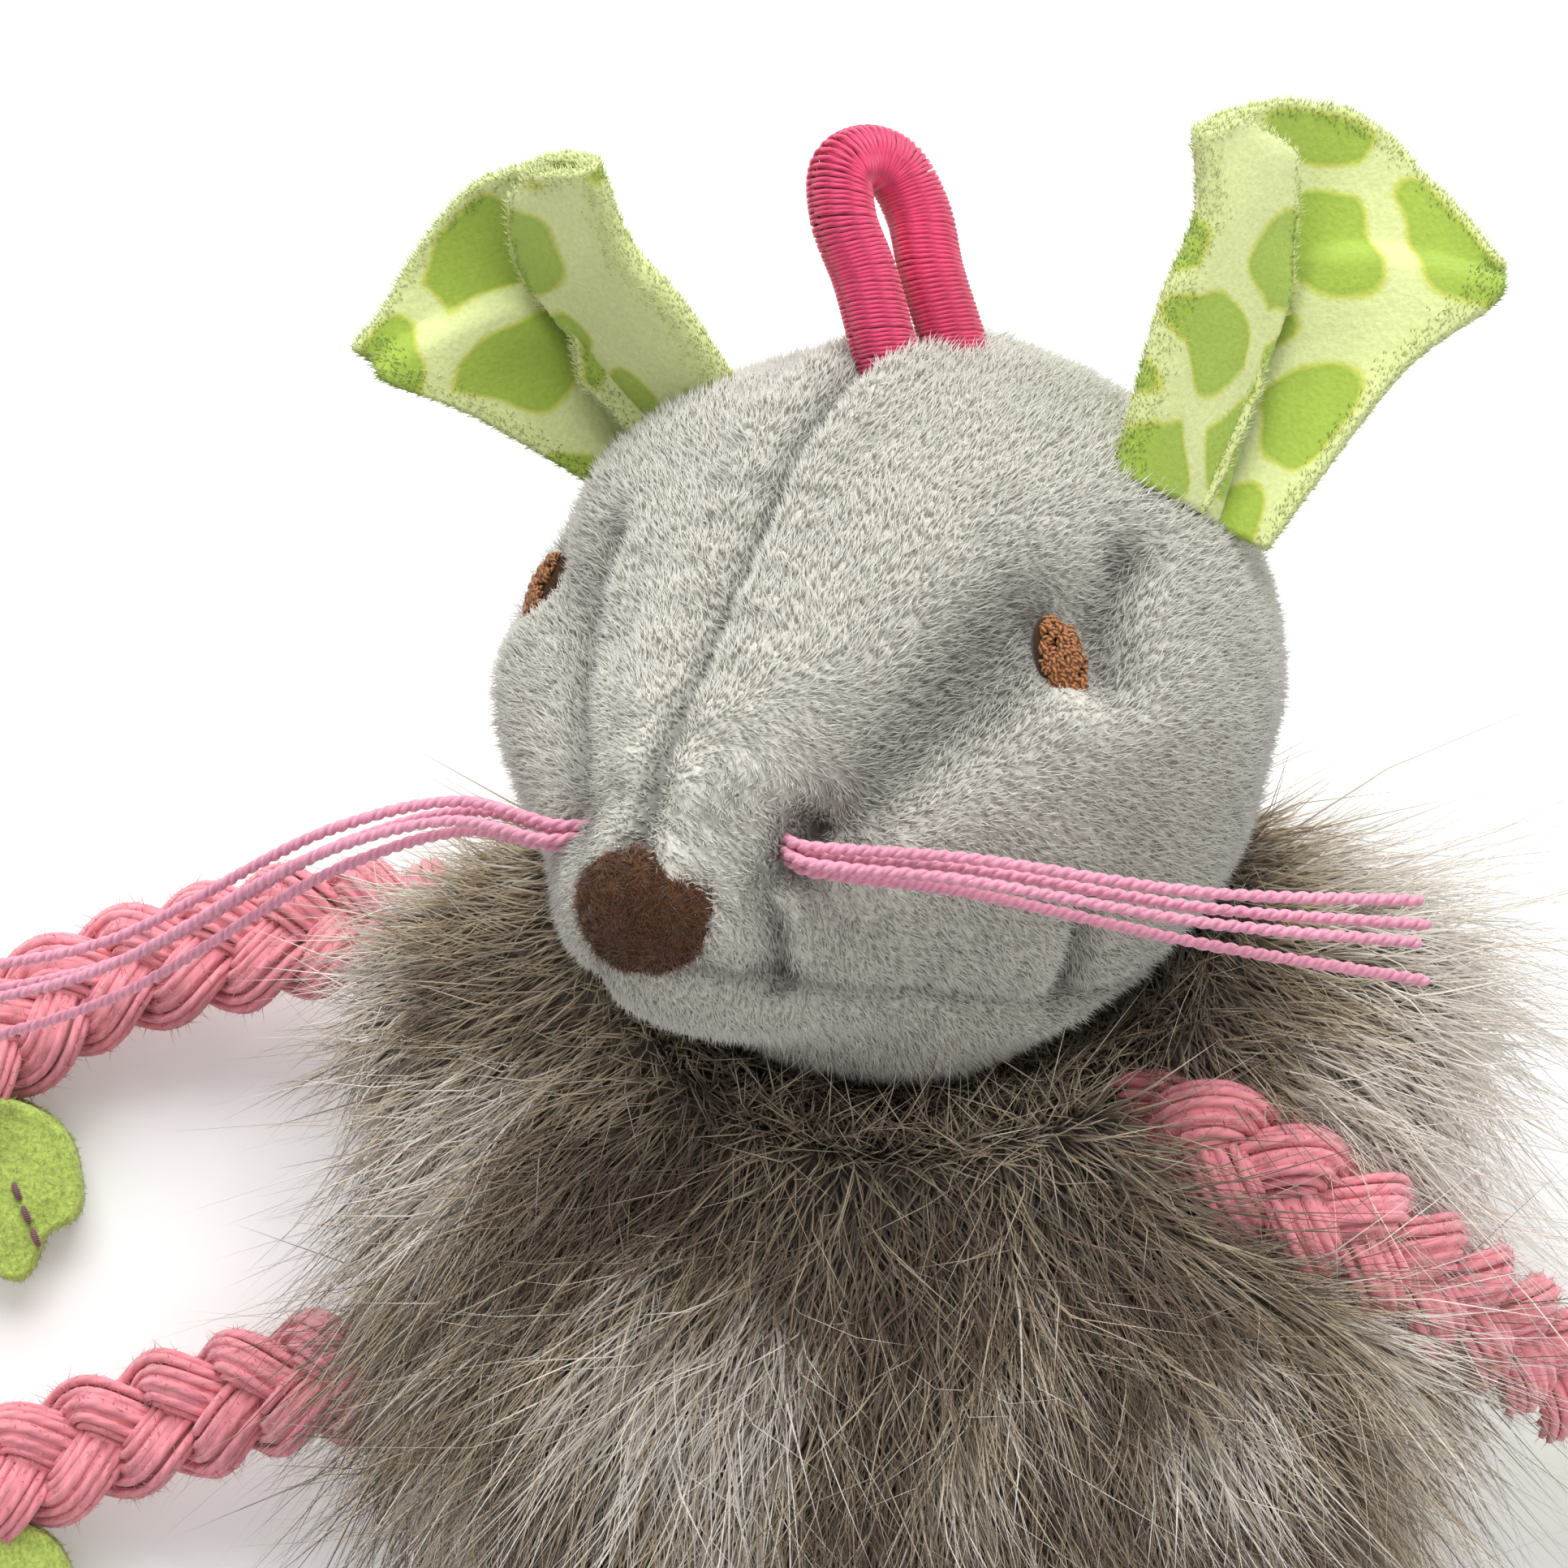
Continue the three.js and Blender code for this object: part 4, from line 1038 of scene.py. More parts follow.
def body_share(points):
    """1 on the body's outer face, less inside it. Points are in the frame."""
    x, y, z = ((points - PART_PLACE) / MM).T
    along = y / (BODY_HALF_LENGTH / MM)
    swell = 1 + 0.24 * np.exp(-(((along - 0.66) / 0.3) ** 2))
    dip = 1 - 0.34 * np.exp(-(((along - 0.55) / 0.42) ** 2))
    deep = z - BODY_SEAM_HEIGHT / MM
    depth = np.where(deep > 0, BODY_FRONT_DEPTH / MM * dip, BODY_BACK_DEPTH / MM)
    round_share = np.hypot(x / (BODY_HALF_WIDTH / MM * swell), deep / depth)
    return (np.abs(along) ** BODY_PLAN_POWER + round_share**BODY_PLAN_POWER) ** (1 / BODY_PLAN_POWER)


def outer_shell(mesh):
    """1 at the points of the shell that reaches furthest out, 0 at those of any shell inside it."""
    work = bmesh.new()
    work.from_mesh(mesh)
    work.verts.ensure_lookup_table()
    found = np.zeros(len(work.verts))
    waiting = [max(work.verts, key=lambda vert: vert.co.x)]
    while waiting:
        vert = waiting.pop()
        if found[vert.index]:
            continue
        found[vert.index] = 1
        waiting += [edge.other_vert(vert) for edge in vert.link_edges]
    work.free()
    return found


class TOY_OT_body_cover(bpy.types.Operator):
    """Joins the two body panels, closed over the filling at the neck, into the cloth of the long pile"""

    bl_idname = "toy.body_cover"
    bl_label = "Body cover"

    def execute(self, context):
        work = bmesh.new()
        for node in ("body_panel_front", "body_panel_back", "body_filling"):
            work.from_mesh(frame["nodes"][node].data)
        bmesh.ops.remove_doubles(work, verts=work.verts, dist=1e-6)
        mesh = bpy.data.meshes.new("body_cover")
        work.to_mesh(mesh)
        work.free()
        piece = show("body_cover", mesh)
        remesh = piece.modifiers.new("Cloth", "REMESH")
        remesh.mode = "VOXEL"
        remesh.voxel_size = BODY_COVER_GRAIN
        remesh.use_smooth_shade = True
        even = piece.modifiers.new("Even", "SMOOTH")
        even.factor = 0.5
        even.iterations = 6
        evaluated(piece)
        mesh = piece.data
        points = places(mesh)
        share = body_share(points)
        inset = BODY_COVER_INSET * ease(share, 0.95, 0.985) - 0.7 * MM * (1 - ease(share, 0.9, 0.95))
        move_to(mesh, points - normals(mesh) * inset[:, None])
        work = bmesh.new()
        work.from_mesh(mesh)
        found = outer_shell(mesh)
        work.verts.ensure_lookup_table()
        bmesh.ops.delete(work, geom=[vert for vert in work.verts if not found[vert.index]], context="VERTS")
        work.to_mesh(mesh)
        work.free()
        mesh.materials.clear()
        # Knitted backing of the long pile, painted dark as the shade deep between the fibres
        mesh.materials.append(cloth_finish("pile backing", linear(0x6E665B), 0.95, 0.6))
        belongs(piece, "torso", "body_pile", "body_panel_front", "body_panel_back")
        return {"FINISHED"}


# Layers of the body's pile: how many strands and how long, as shares, how thick in millimetres,
# then how they lie, stray and curl, and in how many steps
BODY_LAYERS = (
    ("under", 2.2, 0.55, 0.15, 0.62, 0.35, 0.15, 1), ("lower", 1.1, 0.8, 0.09, 0.7, 0.36, 0.5, 2),
    ("pile", 1.2, 0.95, 0.076, 0.74, 0.36, 0.6, 2), ("upper", 1.1, 1.02, 0.066, 0.76, 0.38, 0.65, 2),
    ("guard", 0.55, 1.15, 0.042, 0.72, 0.4, 0.8, 3),
)
# The pile stays this far from the middle of the head
HEAD_CLEARANCE = 25.6 * MM


class TOY_OT_body_pile(bpy.types.Operator):
    """Grows the long pile of the body, combed away from the head"""

    bl_idname = "toy.body_pile"
    bl_label = "Body pile"

    def execute(self, context):
        mesh = bpy.data.objects["body_cover"].data.copy()
        points = places(mesh)
        facing = normals(mesh)
        share = body_share(points)
        from_hollow = points - HEAD_PLACE
        hollow = 1 - ease((unit(from_hollow) * facing).sum(1), -0.75, -0.45)
        hollow *= 1 - ease(np.linalg.norm(from_hollow, axis=1), 29.5 * MM, 32 * MM)
        away = unit(from_hollow) * (1 - hollow)[:, None] + np.array((0, -0.3, 1)) * hollow[:, None]
        away[:, 1] -= 0.25
        x, y, z = ((points - PART_PLACE) / MM).T
        shoulder = ease(np.abs(x), 16, 26) * ease(y, 10, 24)
        spread = np.stack((np.sign(x) * 0.5, np.where(x > 0, 0.75, 0.1), np.zeros(len(x))), 1)
        away += shoulder[:, None] * spread
        away += 0.3 * np.stack([lumps(points, 11 * MM, s) for s in (31, 32, 33)], 1)
        comb = along_surface(away, facing)
        cover_more = np.ones(len(points))
        for limb, (_, reach, _) in LIMBS.items():
            root = joint_place(f"{limb}_swing")
            ahead = root + unit(np.array((*reach[0][:2], 0.0))) * 8 * MM
            towards = along_surface(ahead - points, facing)
            off = points - root
            near = 0.75 * np.exp(-((np.linalg.norm(off, axis=1) / MM / 7.5) ** 2))[:, None]
            comb = comb * (1 - near) + towards * near
            behind = 1 - ease(off @ unit(ahead - root), -1 * MM, 2 * MM)
            comb += facing * (0.9 * behind * near[:, 0])[:, None]
            cover_more -= 0.25 * near[:, 0]
        outside = 1 - hollow * (1 - ease(points[:, 2] - PART_PLACE[2], 16 * MM, 22 * MM))
        right_collar = ease(x, 20, 32) * ease(y, 0, 14)
        left_collar = ease(-x, 10, 24) * ease(y, 4, 20)
        thinner = (1 - 0.6 * ease(-facing[:, 2], 0.3, 0.7)) * (1 - 0.45 * right_collar)
        near_floor = 1 - ease(points[:, 2], 2 * MM, 9 * MM)
        far_end = ease(PART_PLACE[1] - points[:, 1], 24 * MM, 34 * MM) * ease(points[:, 2], 12 * MM, 24 * MM)
        long = (1 + 0.45 * lumps(points, 9 * MM, 34)) * (1 - 0.45 * near_floor) * (1 - 0.3 * hollow)
        pile = long * (1 - 0.45 * far_end) * (1 + 0.2 * right_collar - 0.38 * left_collar) * cover_more
        near_head = np.exp(-((np.linalg.norm(from_hollow, axis=1) / MM - 27) / 6) ** 2)
        tone = 0.5 + 1.05 * lumps(points, 10 * MM, 35) + 0.6 * lumps(points, 3.6 * MM, 36)
        # The right collar is paler: partly its pale fibres, partly painted light against the shade among them
        tone = 0.5 + (tone - 0.5) * (1 - 0.6 * near_head) + 1.7 * right_collar
        keep_all(mesh, grow=outside * thinner, comb=comb, pile=pile, tone=tone)
        sizes = context.scene.toy_sizes
        body = context.scene.toy_colours.pile
        # Modacrylic long pile in mixed fibres: grey-tan, with brown tips in patches and pale guard hairs; the
        # darker roots are painted shade deep in the pile
        tipped = ((0.0, 0x8E806C), (0.35, 0xBCAB93), (0.6, 0x846C59), (1.0, 0x402D24))
        pale = ((0.0, 0xD6CCBC), (0.4, 0xF2E9DD), (1.0, 0xFFFAF2))
        finish = pile_finish("long pile", 0x8E806C, scaled(body, 1.25), 0xE2D4BE, 0.65, 0.2, 0.66,
                             ((0.3, 0.46), tipped), ((0.86, 0.66), pale))
        strands = sizes.body_strands * 1
        for layer, (name, crowd, long, wide, lie, stray, curl, steps) in enumerate(BODY_LAYERS):
            crowd = strands * crowd / BODY_COVER_AREA
            long = sizes.body_pile * long
            piece = fuzz(f"body_pile_{name}", mesh.copy(), finish, crowd, long, 0.35, wide * MM, **{
                "Lie": lie, "Stray": stray, "Bend": 0.3, "Curl": curl, "Tufts per square metre": 1.7e5,
                "Tuft pull": 0.6, "Tone spread": 0.22, "Steps": steps, "Seed": 40 + layer,
                "Keep clear of": tuple(HEAD_PLACE), "Keep clear by": HEAD_CLEARANCE})
            belongs(piece, "torso", "body_pile")
        return {"FINISHED"}


class TOY_OT_plaits(bpy.types.Operator):
    """Plaits each limb from three strands of cotton yarns"""

    bl_idname = "toy.plaits"
    bl_label = "Plaited limbs"

    def execute(self, context):
        sizes, colour = context.scene.toy_sizes, context.scene.toy_colours.plait
        strands, yarns, count = 3, 12, 84
        # Soft cotton yarn in three-strand plaits: matt, furry, with painted shade between the yarns and
        # painted highlights on them
        finish = twisted_finish("plaited cotton", *shades(colour, 0.95, 1.05, 1.15), 46 * MM,
                                strands * (yarns + 1), 2.4 * MM, 0.95, 0.4)
        # Cotton fuzz with painted shade at its roots, darker there than at the tips
        fuzz_finish = pile_finish("cotton fuzz", *shades(colour, 0.95, 1.1, 1.3), 0.9, 0.3)
        for limb_index, (limb, (_, reach, _)) in enumerate(LIMBS.items()):
            root = joint_place(f"{limb}_swing") / MM
            sewn_in = np.array((PART_PLACE[0] / MM - root[0], 0, BODY_SEAM_HEIGHT / MM - root[2]))
            stretch = np.array((LIMB_LENGTH, LIMB_LENGTH, LIMB_REST_HEIGHT - root[2]))
            knots = [root + unit(sewn_in) * LIMB_SEWN_IN, root]
            knots += [root + np.array(step) * stretch for step in reach]
            line = smooth_route(knots, count) * MM
            along, side, up = route_frames(line, (0, 0, 1))
            far = np.concatenate(((0,), np.cumsum(np.linalg.norm(np.diff(line, axis=0), axis=1))))
            wide = np.linspace(1.0, 0.9, count) * 0.97
            rng = np.random.default_rng(60 + limb_index)
            lines = []
            for strand in range(strands):
                turn = 2 * pi * (far / sizes.plait_period + strand / strands)
                over = 3.0 * MM * wide * np.sin(turn)
                lift = 1.75 * MM * wide * np.sin(2 * turn)
                middle = line + side * over[:, None] + up * lift[:, None]
                heading = unit(np.gradient(middle, axis=0))
                across = unit(np.cross(heading, up))
                top = np.cross(across, heading)
                lines.append((middle, tapered(1.5 * MM, count)))
                for yarn in range(yarns):
                    angle = 2 * pi * (yarn + 0.5) / yarns + 0.5 * np.sin(far / (7 * MM) + strand)
                    drift = 1 + 0.1 * np.sin(far / (3.1 * MM) + rng.uniform(0, 6))
                    off = across * (2.0 * MM * wide * drift * np.cos(angle))[:, None]
                    off += top * (1.3 * MM * wide * drift * np.sin(angle))[:, None]
                    lines.append((middle + off, tapered(sizes.plait_yarn * rng.uniform(0.92, 1.08), count)))
            piece = spun(f"{limb}_plait", lines, 5, finish)
            belongs(piece, limb, "plaited_cotton", limb)
            skin = piece.data.copy()
            comb = along_surface(rng.normal(size=(len(skin.vertices), 3)), normals(skin))
            keep_all(skin, grow=1, comb=comb, pile=1, tone=0.6)
            fibres = fuzz(f"{limb}_fuzz", skin, fuzz_finish, 1.7e6, 0.9 * MM, 0.5, 0.028 * MM, **{
                "Lie": 0.6, "Stray": 0.6, "Bend": 0.3, "Curl": 0.4, "Tufts per square metre": 1e5,
                "Tuft pull": 0.0, "Tone spread": 0.5, "Steps": 1, "Seed": 64})
            belongs(fibres, limb, "plaited_cotton")
        return {"FINISHED"}


# A felt layer from its middle over its cut edge and back: how far out, and how high
PAW_EDGE_SHARES = (
    (0, 1), (0.25, 1), (0.5, 1), (0.7, 1), (0.82, 1), (0.9, 0.97), (0.96, 0.86), (0.99, 0.68), (1.0, 0.5),
    (0.99, 0.3), (0.96, 0.14), (0.9, 0.04), (0.7, 0), (0.35, 0), (0, 0),
)


def paw_outline(turn):
    """Half width and forward place of the paw's edge, in millimetres, round it from the wrist."""
    forward = (1 - np.cos(turn)) / 2
    toes = 1 + 0.08 * np.cos(6 * turn) * forward**3
    narrowing = 1 - 0.22 * np.cos(turn) ** 2 * (1 - forward)
    start = 0.12 * PAW_LENGTH
    return PAW_WIDTH / 2 * np.sin(turn) * narrowing * toes, start + (PAW_LENGTH - start) * forward * toes


class TOY_OT_paws(bpy.types.Operator):
    """Cuts each paw from two layers of felt over the end of its plait"""

    bl_idname = "toy.paws"
    bl_label = "Felt paws"

    def execute(self, context):
        colour = context.scene.toy_colours.paw
        # Needle-punched wool felt: matted fibres that lie every way, fuzzy at the cut edge
        ground = cloth_finish("paw felt", tuple(colour), 0.95, 0.35, 0.4, 0.2)
        # Felt fibres with painted shade at their roots, darker there than at the tips
        fuzz_finish = pile_finish("paw felt fibres", *shades(colour, 0.8, 1.0, 1.2), 0.9, 0.3)
        # Twisted toe thread, with painted shade between its plies and a painted highlight on top
        toe_thread = twisted_finish("toe thread", 0x4A2E33, 0x6B444B, 0x8F646A, 8 * MM, 8, 1.2 * MM, 0.6)
        for limb, (paw, reach, way) in LIMBS.items():
            wrist = joint_place(f"{paw}_flap")
            heading = unit(np.array(way))
            across = unit(np.cross(heading, (0, 0, 1)))
            up = np.cross(across, heading)
            turn = np.linspace(0, 2 * pi, 97)
            half, forward = paw_outline(turn)
            centre = 0.55 * PAW_LENGTH
            shells = []

            def at(x, y, z):
                """Points by their place across and along the paw and above its middle, in millimetres."""
                return wrist + (across * x[:, None] + heading * y[:, None] + up * z[:, None]) * MM

            for sign in (1, -1):
                rows = []
                for scale, high in PAW_EDGE_SHARES:
                    x = half * scale
                    y = centre + (forward - centre) * scale
                    stitched = 0.3 * np.exp(-(((1 - scale) * 6.5 - 1.2) / 0.5) ** 2) * (high > 0.5)
                    swell = 2.5 * np.exp(-((x / 4.0) ** 2 + ((y - 1.0) / 3.4) ** 2))
                    z = np.broadcast_to(0.15 + 1.45 * high - stitched, x.shape) + swell
                    rows.append(at(x, y, sign * z))
                shells.append(welded(lattice(paw, np.array(rows))))
            mesh = joined(f"{paw}_felt", shells)
            points = places(mesh)
            points[:, 2] = np.maximum(points[:, 2], FLOOR_CLEAR)
            move_to(mesh, points)
            mesh.materials.append(ground)
            piece = show(f"{paw}_felt", smooth_shaded(mesh))
            belongs(piece, paw, "paw_felt", f"{paw}_front", f"{paw}_back")
            skin = mesh.copy()
            comb = along_surface(np.tile(heading, (len(skin.vertices), 1)), normals(skin))
            keep_all(skin, grow=1, comb=comb, pile=1, tone=0.6 + 0.3 * lumps(places(skin), 4 * MM, 51))
            fibres = fuzz(f"{paw}_fibres", skin, fuzz_finish, 7e6, 0.5 * MM, 0.5, 0.035 * MM, **{
                "Lie": 0.75, "Stray": 1.0, "Bend": 0.1, "Tufts per square metre": 1e5, "Tuft pull": 0.0,
                "Tone spread": 0.5, "Steps": 1, "Seed": 50})
            belongs(fibres, paw, "paw_felt")
            lines = []
            for toe in (-1, 1):
                for sign in (1, -1):
                    for stitch in range(3):
                        t = np.linspace(0, 1, 9)
                        y = 8.6 + 1.75 * (stitch + t * 0.82)
                        x = toe * (1.55 + 0.09 * (y - 8))
                        z = 1.72 + 0.16 * np.sin(pi * t) - 0.35 * (1 - np.sin(pi * t)) ** 3
                        lines.append((at(x, y, sign * z), tapered(0.24 * MM, 9, 1)))
            belongs(spun(f"{paw}_toe_stitches", lines, 6, toe_thread), paw, "paw_felt")
        return {"FINISHED"}


def ear_surface(across, up, outer, height, corner, spread):
    """The ear's middle surface, in millimetres: across from -1 to 1, up from 0 to 1."""
    half_width = (EAR_ROOT_WIDTH + (EAR_TOP_WIDTH - EAR_ROOT_WIDTH) * up) / 2
    fold = EAR_ROOT_FOLD + (EAR_TOP_FOLD - EAR_ROOT_FOLD) * up
    outward, inward = np.clip(across * outer, 0, None), np.clip(-across * outer, 0, None)
    width = half_width * (1 + spread * outward * np.exp(-(((up - 0.78) / 0.2) ** 2))
                          - 0.12 * inward * np.exp(-(((up - 0.66) / 0.22) ** 2)))
    drop = corner * across**2 * up * (1 - 0.4 * outward) + 0.05 * outward**2 * ease(up, 0.85, 1.0)
    below = 0.56 + 0.27 * outward - up
    ledge = 1.5 * np.exp(-((below / np.where(below > 0, 0.24, 0.035)) ** 2)) * ease(outward, 0.02, 0.3)
    return np.stack((across * width, height * up * (1 - drop), fold * np.abs(across) ** (1 + up) + ledge), -1)


class TOY_OT_ears(bpy.types.Operator):
    """Folds each ear from printed velour, pinched at its root"""

    bl_idname = "toy.ears"
    bl_label = "Ears"

    def execute(self, context):
        colours = context.scene.toy_colours
        dark = tuple(colours.ear_dark)
        dyes = ((0.0, tuple(colours.ear_light)), (0.3, 0xCCD264), (0.7, dark), (1.0, scaled(dark, 1.05)))
        # Printed cotton velour: rounded mid-green blobs on pale lime, short pile that scatters light
        ground, tree, shader = start_finish("ear velour", 0.95, 0.4, 0.2)
        blob = add(tree, "ShaderNodeAttribute", attribute_name="blob").outputs["Fac"]
        fine, slow = patterns(tree, (0.35 * MM, 3.0), (5 * MM, 1.0))
        nap = add(tree, RAMP, (fine,), ((0.3, grey(0.86)), (0.7, grey(1.0))))
        wear = add(tree, RAMP, (slow,), ((0.3, grey(0.9)), (0.7, grey(1.0))))
        dyed = add(tree, MIX, {0: 1.0, 6: add(tree, RAMP, (blob,), dyes), 7: nap}, **DYED)
        set_colour(tree, shader, dyed, wear)
        set_relief(tree, shader, fine, 0.12 * MM)
        nap_finish, tree, shader = start_finish("ear velour nap", 0.9, 0.4, 0.2)
        along, level = chart_axes(tree)[:2]
        # Nap fibres with a little painted shade at their roots
        nap = add(tree, RAMP, (along,), ((0.0, grey(0.95)), (1.0, grey(1.0))))
        level = add(tree, "ShaderNodeMapRange", (level, 0.2, 0.8))
        set_colour(tree, shader, add(tree, RAMP, (level,), dyes), nap)
        for name, (side, height, corner, spread, tilt, rise, lean, twist) in EARS.items():
            outward = head_direction(float(tilt), float(on_side(side, rise)))
            root = head_point(outward)
            up = unit(outward + np.array(lean))
            front = unit(np.array((0, 0, 1)) - up * up[2])
            angle = radians(-side * twist)
            front = front * cos(angle) + np.cross(up, front) * sin(angle)
            basis = np.stack((np.cross(up, front), up, front))
            inner = -side
            rows, columns = 66, 150
            ups = np.linspace(-0.13, 1, rows + 1)
            flap, wrap = 50, 12
            sheet = np.empty((rows + 1, columns + 1, 3))
            cloth = np.empty((rows + 1, columns + 1, 2))
            for i, u in enumerate(ups):
                high = np.full(columns + 1, u)
                cut = np.interp(u, *np.array(EAR_FLAPS[name]).T) + 0.03 * noise.noise((u * 14, side, 0))
                step = np.concatenate((np.linspace(cut, 1, flap), np.ones(wrap),
                                       np.linspace(1, -1, columns + 1 - flap - wrap)))
                level = np.concatenate((np.ones(flap), 1 - np.linspace(0, 1, wrap + 2)[1:-1],
                                        np.zeros(columns + 1 - flap - wrap)))
                a = step * inner
                here = ear_surface(a, high, -inner, height, corner, spread)
                near = ear_surface(a + 0.01, high, -inner, height, corner, spread) - here
                rise_by = ear_surface(a, high + 0.01, -inner, height, corner, spread) - here
                normal = unit(np.cross(near, rise_by))
                gap = 1.45 + 0.5 * (1 - u)
                lift = gap * level
                lift[:flap] += 1.0 * np.sin(pi * np.linspace(0.2, 1, flap)) * min(1, 1 - cut)
                beyond = np.zeros(columns + 1)
                beyond[flap : flap + wrap] = gap / 2 * np.sin(pi * np.linspace(0, 1, wrap + 2)[1:-1])
                sheet[i] = here + normal * lift[:, None] + unit(near) * (beyond * inner)[:, None]
                cloth[i, :, 0] = np.concatenate(((1 - step[:flap]) * 9, np.linspace(0, -2, wrap),
                                                 (step[flap + wrap :] - 1) * 9 - 2))
                cloth[i, :, 1] = u * height
            flat = np.c_[cloth.reshape(-1, 2), np.zeros(cloth.size // 2)]
            trim = 0.35 * lumps(flat, 3.0, 70 + side)
            sheet[..., 1] += trim.reshape(rows + 1, -1) * ease(ups, 0.85, 1.0)[:, None]
            mesh = lattice(name, from_head((sheet @ basis) * MM + root))
            seeds = np.random.default_rng(80 + side).uniform((-24, -3), (12, 24), (20, 2))
            for _ in range(12):
                gaps = seeds[:, None] - seeds[None]
                far = np.linalg.norm(gaps, axis=-1) + np.eye(len(seeds)) * 99
                seeds += 0.25 * (gaps / far[..., None] * np.clip(7.6 - far, 0, None)[..., None]).sum(1)
            spots = flat[:, :2] + 0.7 * np.stack([lumps(flat, 5, s) for s in (1, 2)], 1)
            far = np.sort(np.linalg.norm(spots[:, None] - seeds[None], axis=-1), axis=1)
            blobs = ease(far[:, 1] - far[:, 0], 1.3, 2.8) * ease(-far[:, 0], -4.3, -3.3)
            edge = np.minimum(np.arange(columns + 1)[None], (rows - np.arange(rows + 1))[:, None])
            blobs *= ease(edge.ravel().astype(float), 0.5, 3.0)
            column = np.arange(columns + 1)
            rim = np.minimum.reduce((column, columns - column, np.abs(column - flap - wrap / 2)))
            rim = np.minimum(rim[None] / 2, (rows - np.arange(rows + 1))[:, None])
            comb = along_surface(np.tile(basis[1] @ HEAD_TURN.T, (len(blobs), 1)), normals(mesh))
            tone = 0.16 + 0.68 * blobs
            keep_all(mesh, blob=blobs, tone=tone, grow=1 - ease(rim.ravel(), 1, 4), pile=1, comb=comb)
            piece = show(f"{name}_velour", mesh)
            thick = piece.modifiers.new("Thickness", "SOLIDIFY")
            thick.thickness = 0.9 * MM
            thick.offset = 0
            evaluated(piece)
            smooth_shaded(piece.data).materials.append(ground)
            skin = piece.data.copy()
            nap_piece = fuzz(f"{name}_nap", skin, nap_finish, 16e6, 0.5 * MM, 0.4, 0.045 * MM, **{
                "Lie": 0.5, "Stray": 0.4, "Bend": 0.2, "Tufts per square metre": 2e6, "Tuft pull": 0.2,
                "Tone spread": 0.04, "Steps": 1, "Seed": 70})
            belongs(piece, name, "ear_velour", f"{name}_front", f"{name}_back")
            belongs(nap_piece, name, "ear_velour")
        return {"FINISHED"}


class TOY_OT_nose(bpy.types.Operator):
    """Lays the round of brown felt on the tip of the snout"""

    bl_idname = "toy.nose"
    bl_label = "Nose"

    def execute(self, context):
        colour = context.scene.toy_colours.nose
        turn = np.linspace(0, 2 * pi, 73)
        rows = []
        uneven = 1 + 0.02 * np.sin(3 * turn + 1) + 0.015 * np.sin(5 * turn)
        for share, high in NOSE_PROFILE:
            off = share * MM * uneven
            x, y = (off * np.cos(turn) * NOSE_HALF[0] + NOSE_SHIFT[0] * MM,
                    off * np.sin(turn) * NOSE_HALF[1] + NOSE_SHIFT[1] * MM)
            tilt = np.degrees(np.arctan2(np.hypot(x, y), head_reach(head_direction(0.0, 0.0)) - 0.001))
            directions = head_direction(tilt, np.degrees(np.arctan2(y, x)))
            rows.append(from_head(head_point(directions, high * MM)))
        mesh = welded(lattice("nose_felt", np.array(rows)))
        # Pressed wool felt, brown: matted, with a redder fuzz, painted lighter at its rim as a painted
        # highlight where it catches the light
        mesh.materials.append(cloth_finish("nose felt", tuple(colour), 0.95, 0.3, 0.3, 0.2))
        piece = show("nose_felt", mesh)
        skin = mesh.copy()
        local = into_head(places(skin))
        off = np.linalg.norm((local[:, :2] / MM - NOSE_SHIFT) / NOSE_HALF, axis=1)
        # Painted highlight: the fuzz is lighter towards the rim, and painted shade makes it darker at its
        # roots
        tone = 0.35 + 0.5 * ease(off, 0.65, 1.0) + 0.2 * lumps(local, 1.5 * MM, 90)
        whirl = np.stack([lumps(local, 1.2 * MM, s) for s in (91, 92, 93)], 1)
        keep_all(skin, grow=1, pile=1, tone=tone, comb=along_surface(whirl @ HEAD_TURN.T, normals(skin)))
        fuzz_finish = pile_finish("nose felt fibres", *shades(colour, 0.75, 1.0), 0x8A5632, 0.9, 0.2)
        fibres = fuzz("nose_fibres", skin, fuzz_finish, 60e6, 0.65 * MM, 0.5, 0.04 * MM, **{
            "Lie": 0.75, "Stray": 0.6, "Bend": 0.2, "Tufts per square metre": 2e6, "Tuft pull": 0.3,
            "Tone spread": 0.4, "Steps": 1, "Seed": 90})
        belongs(piece, "head", "nose_felt", "nose")
        belongs(fibres, "head", "nose_felt")
        return {"FINISHED"}


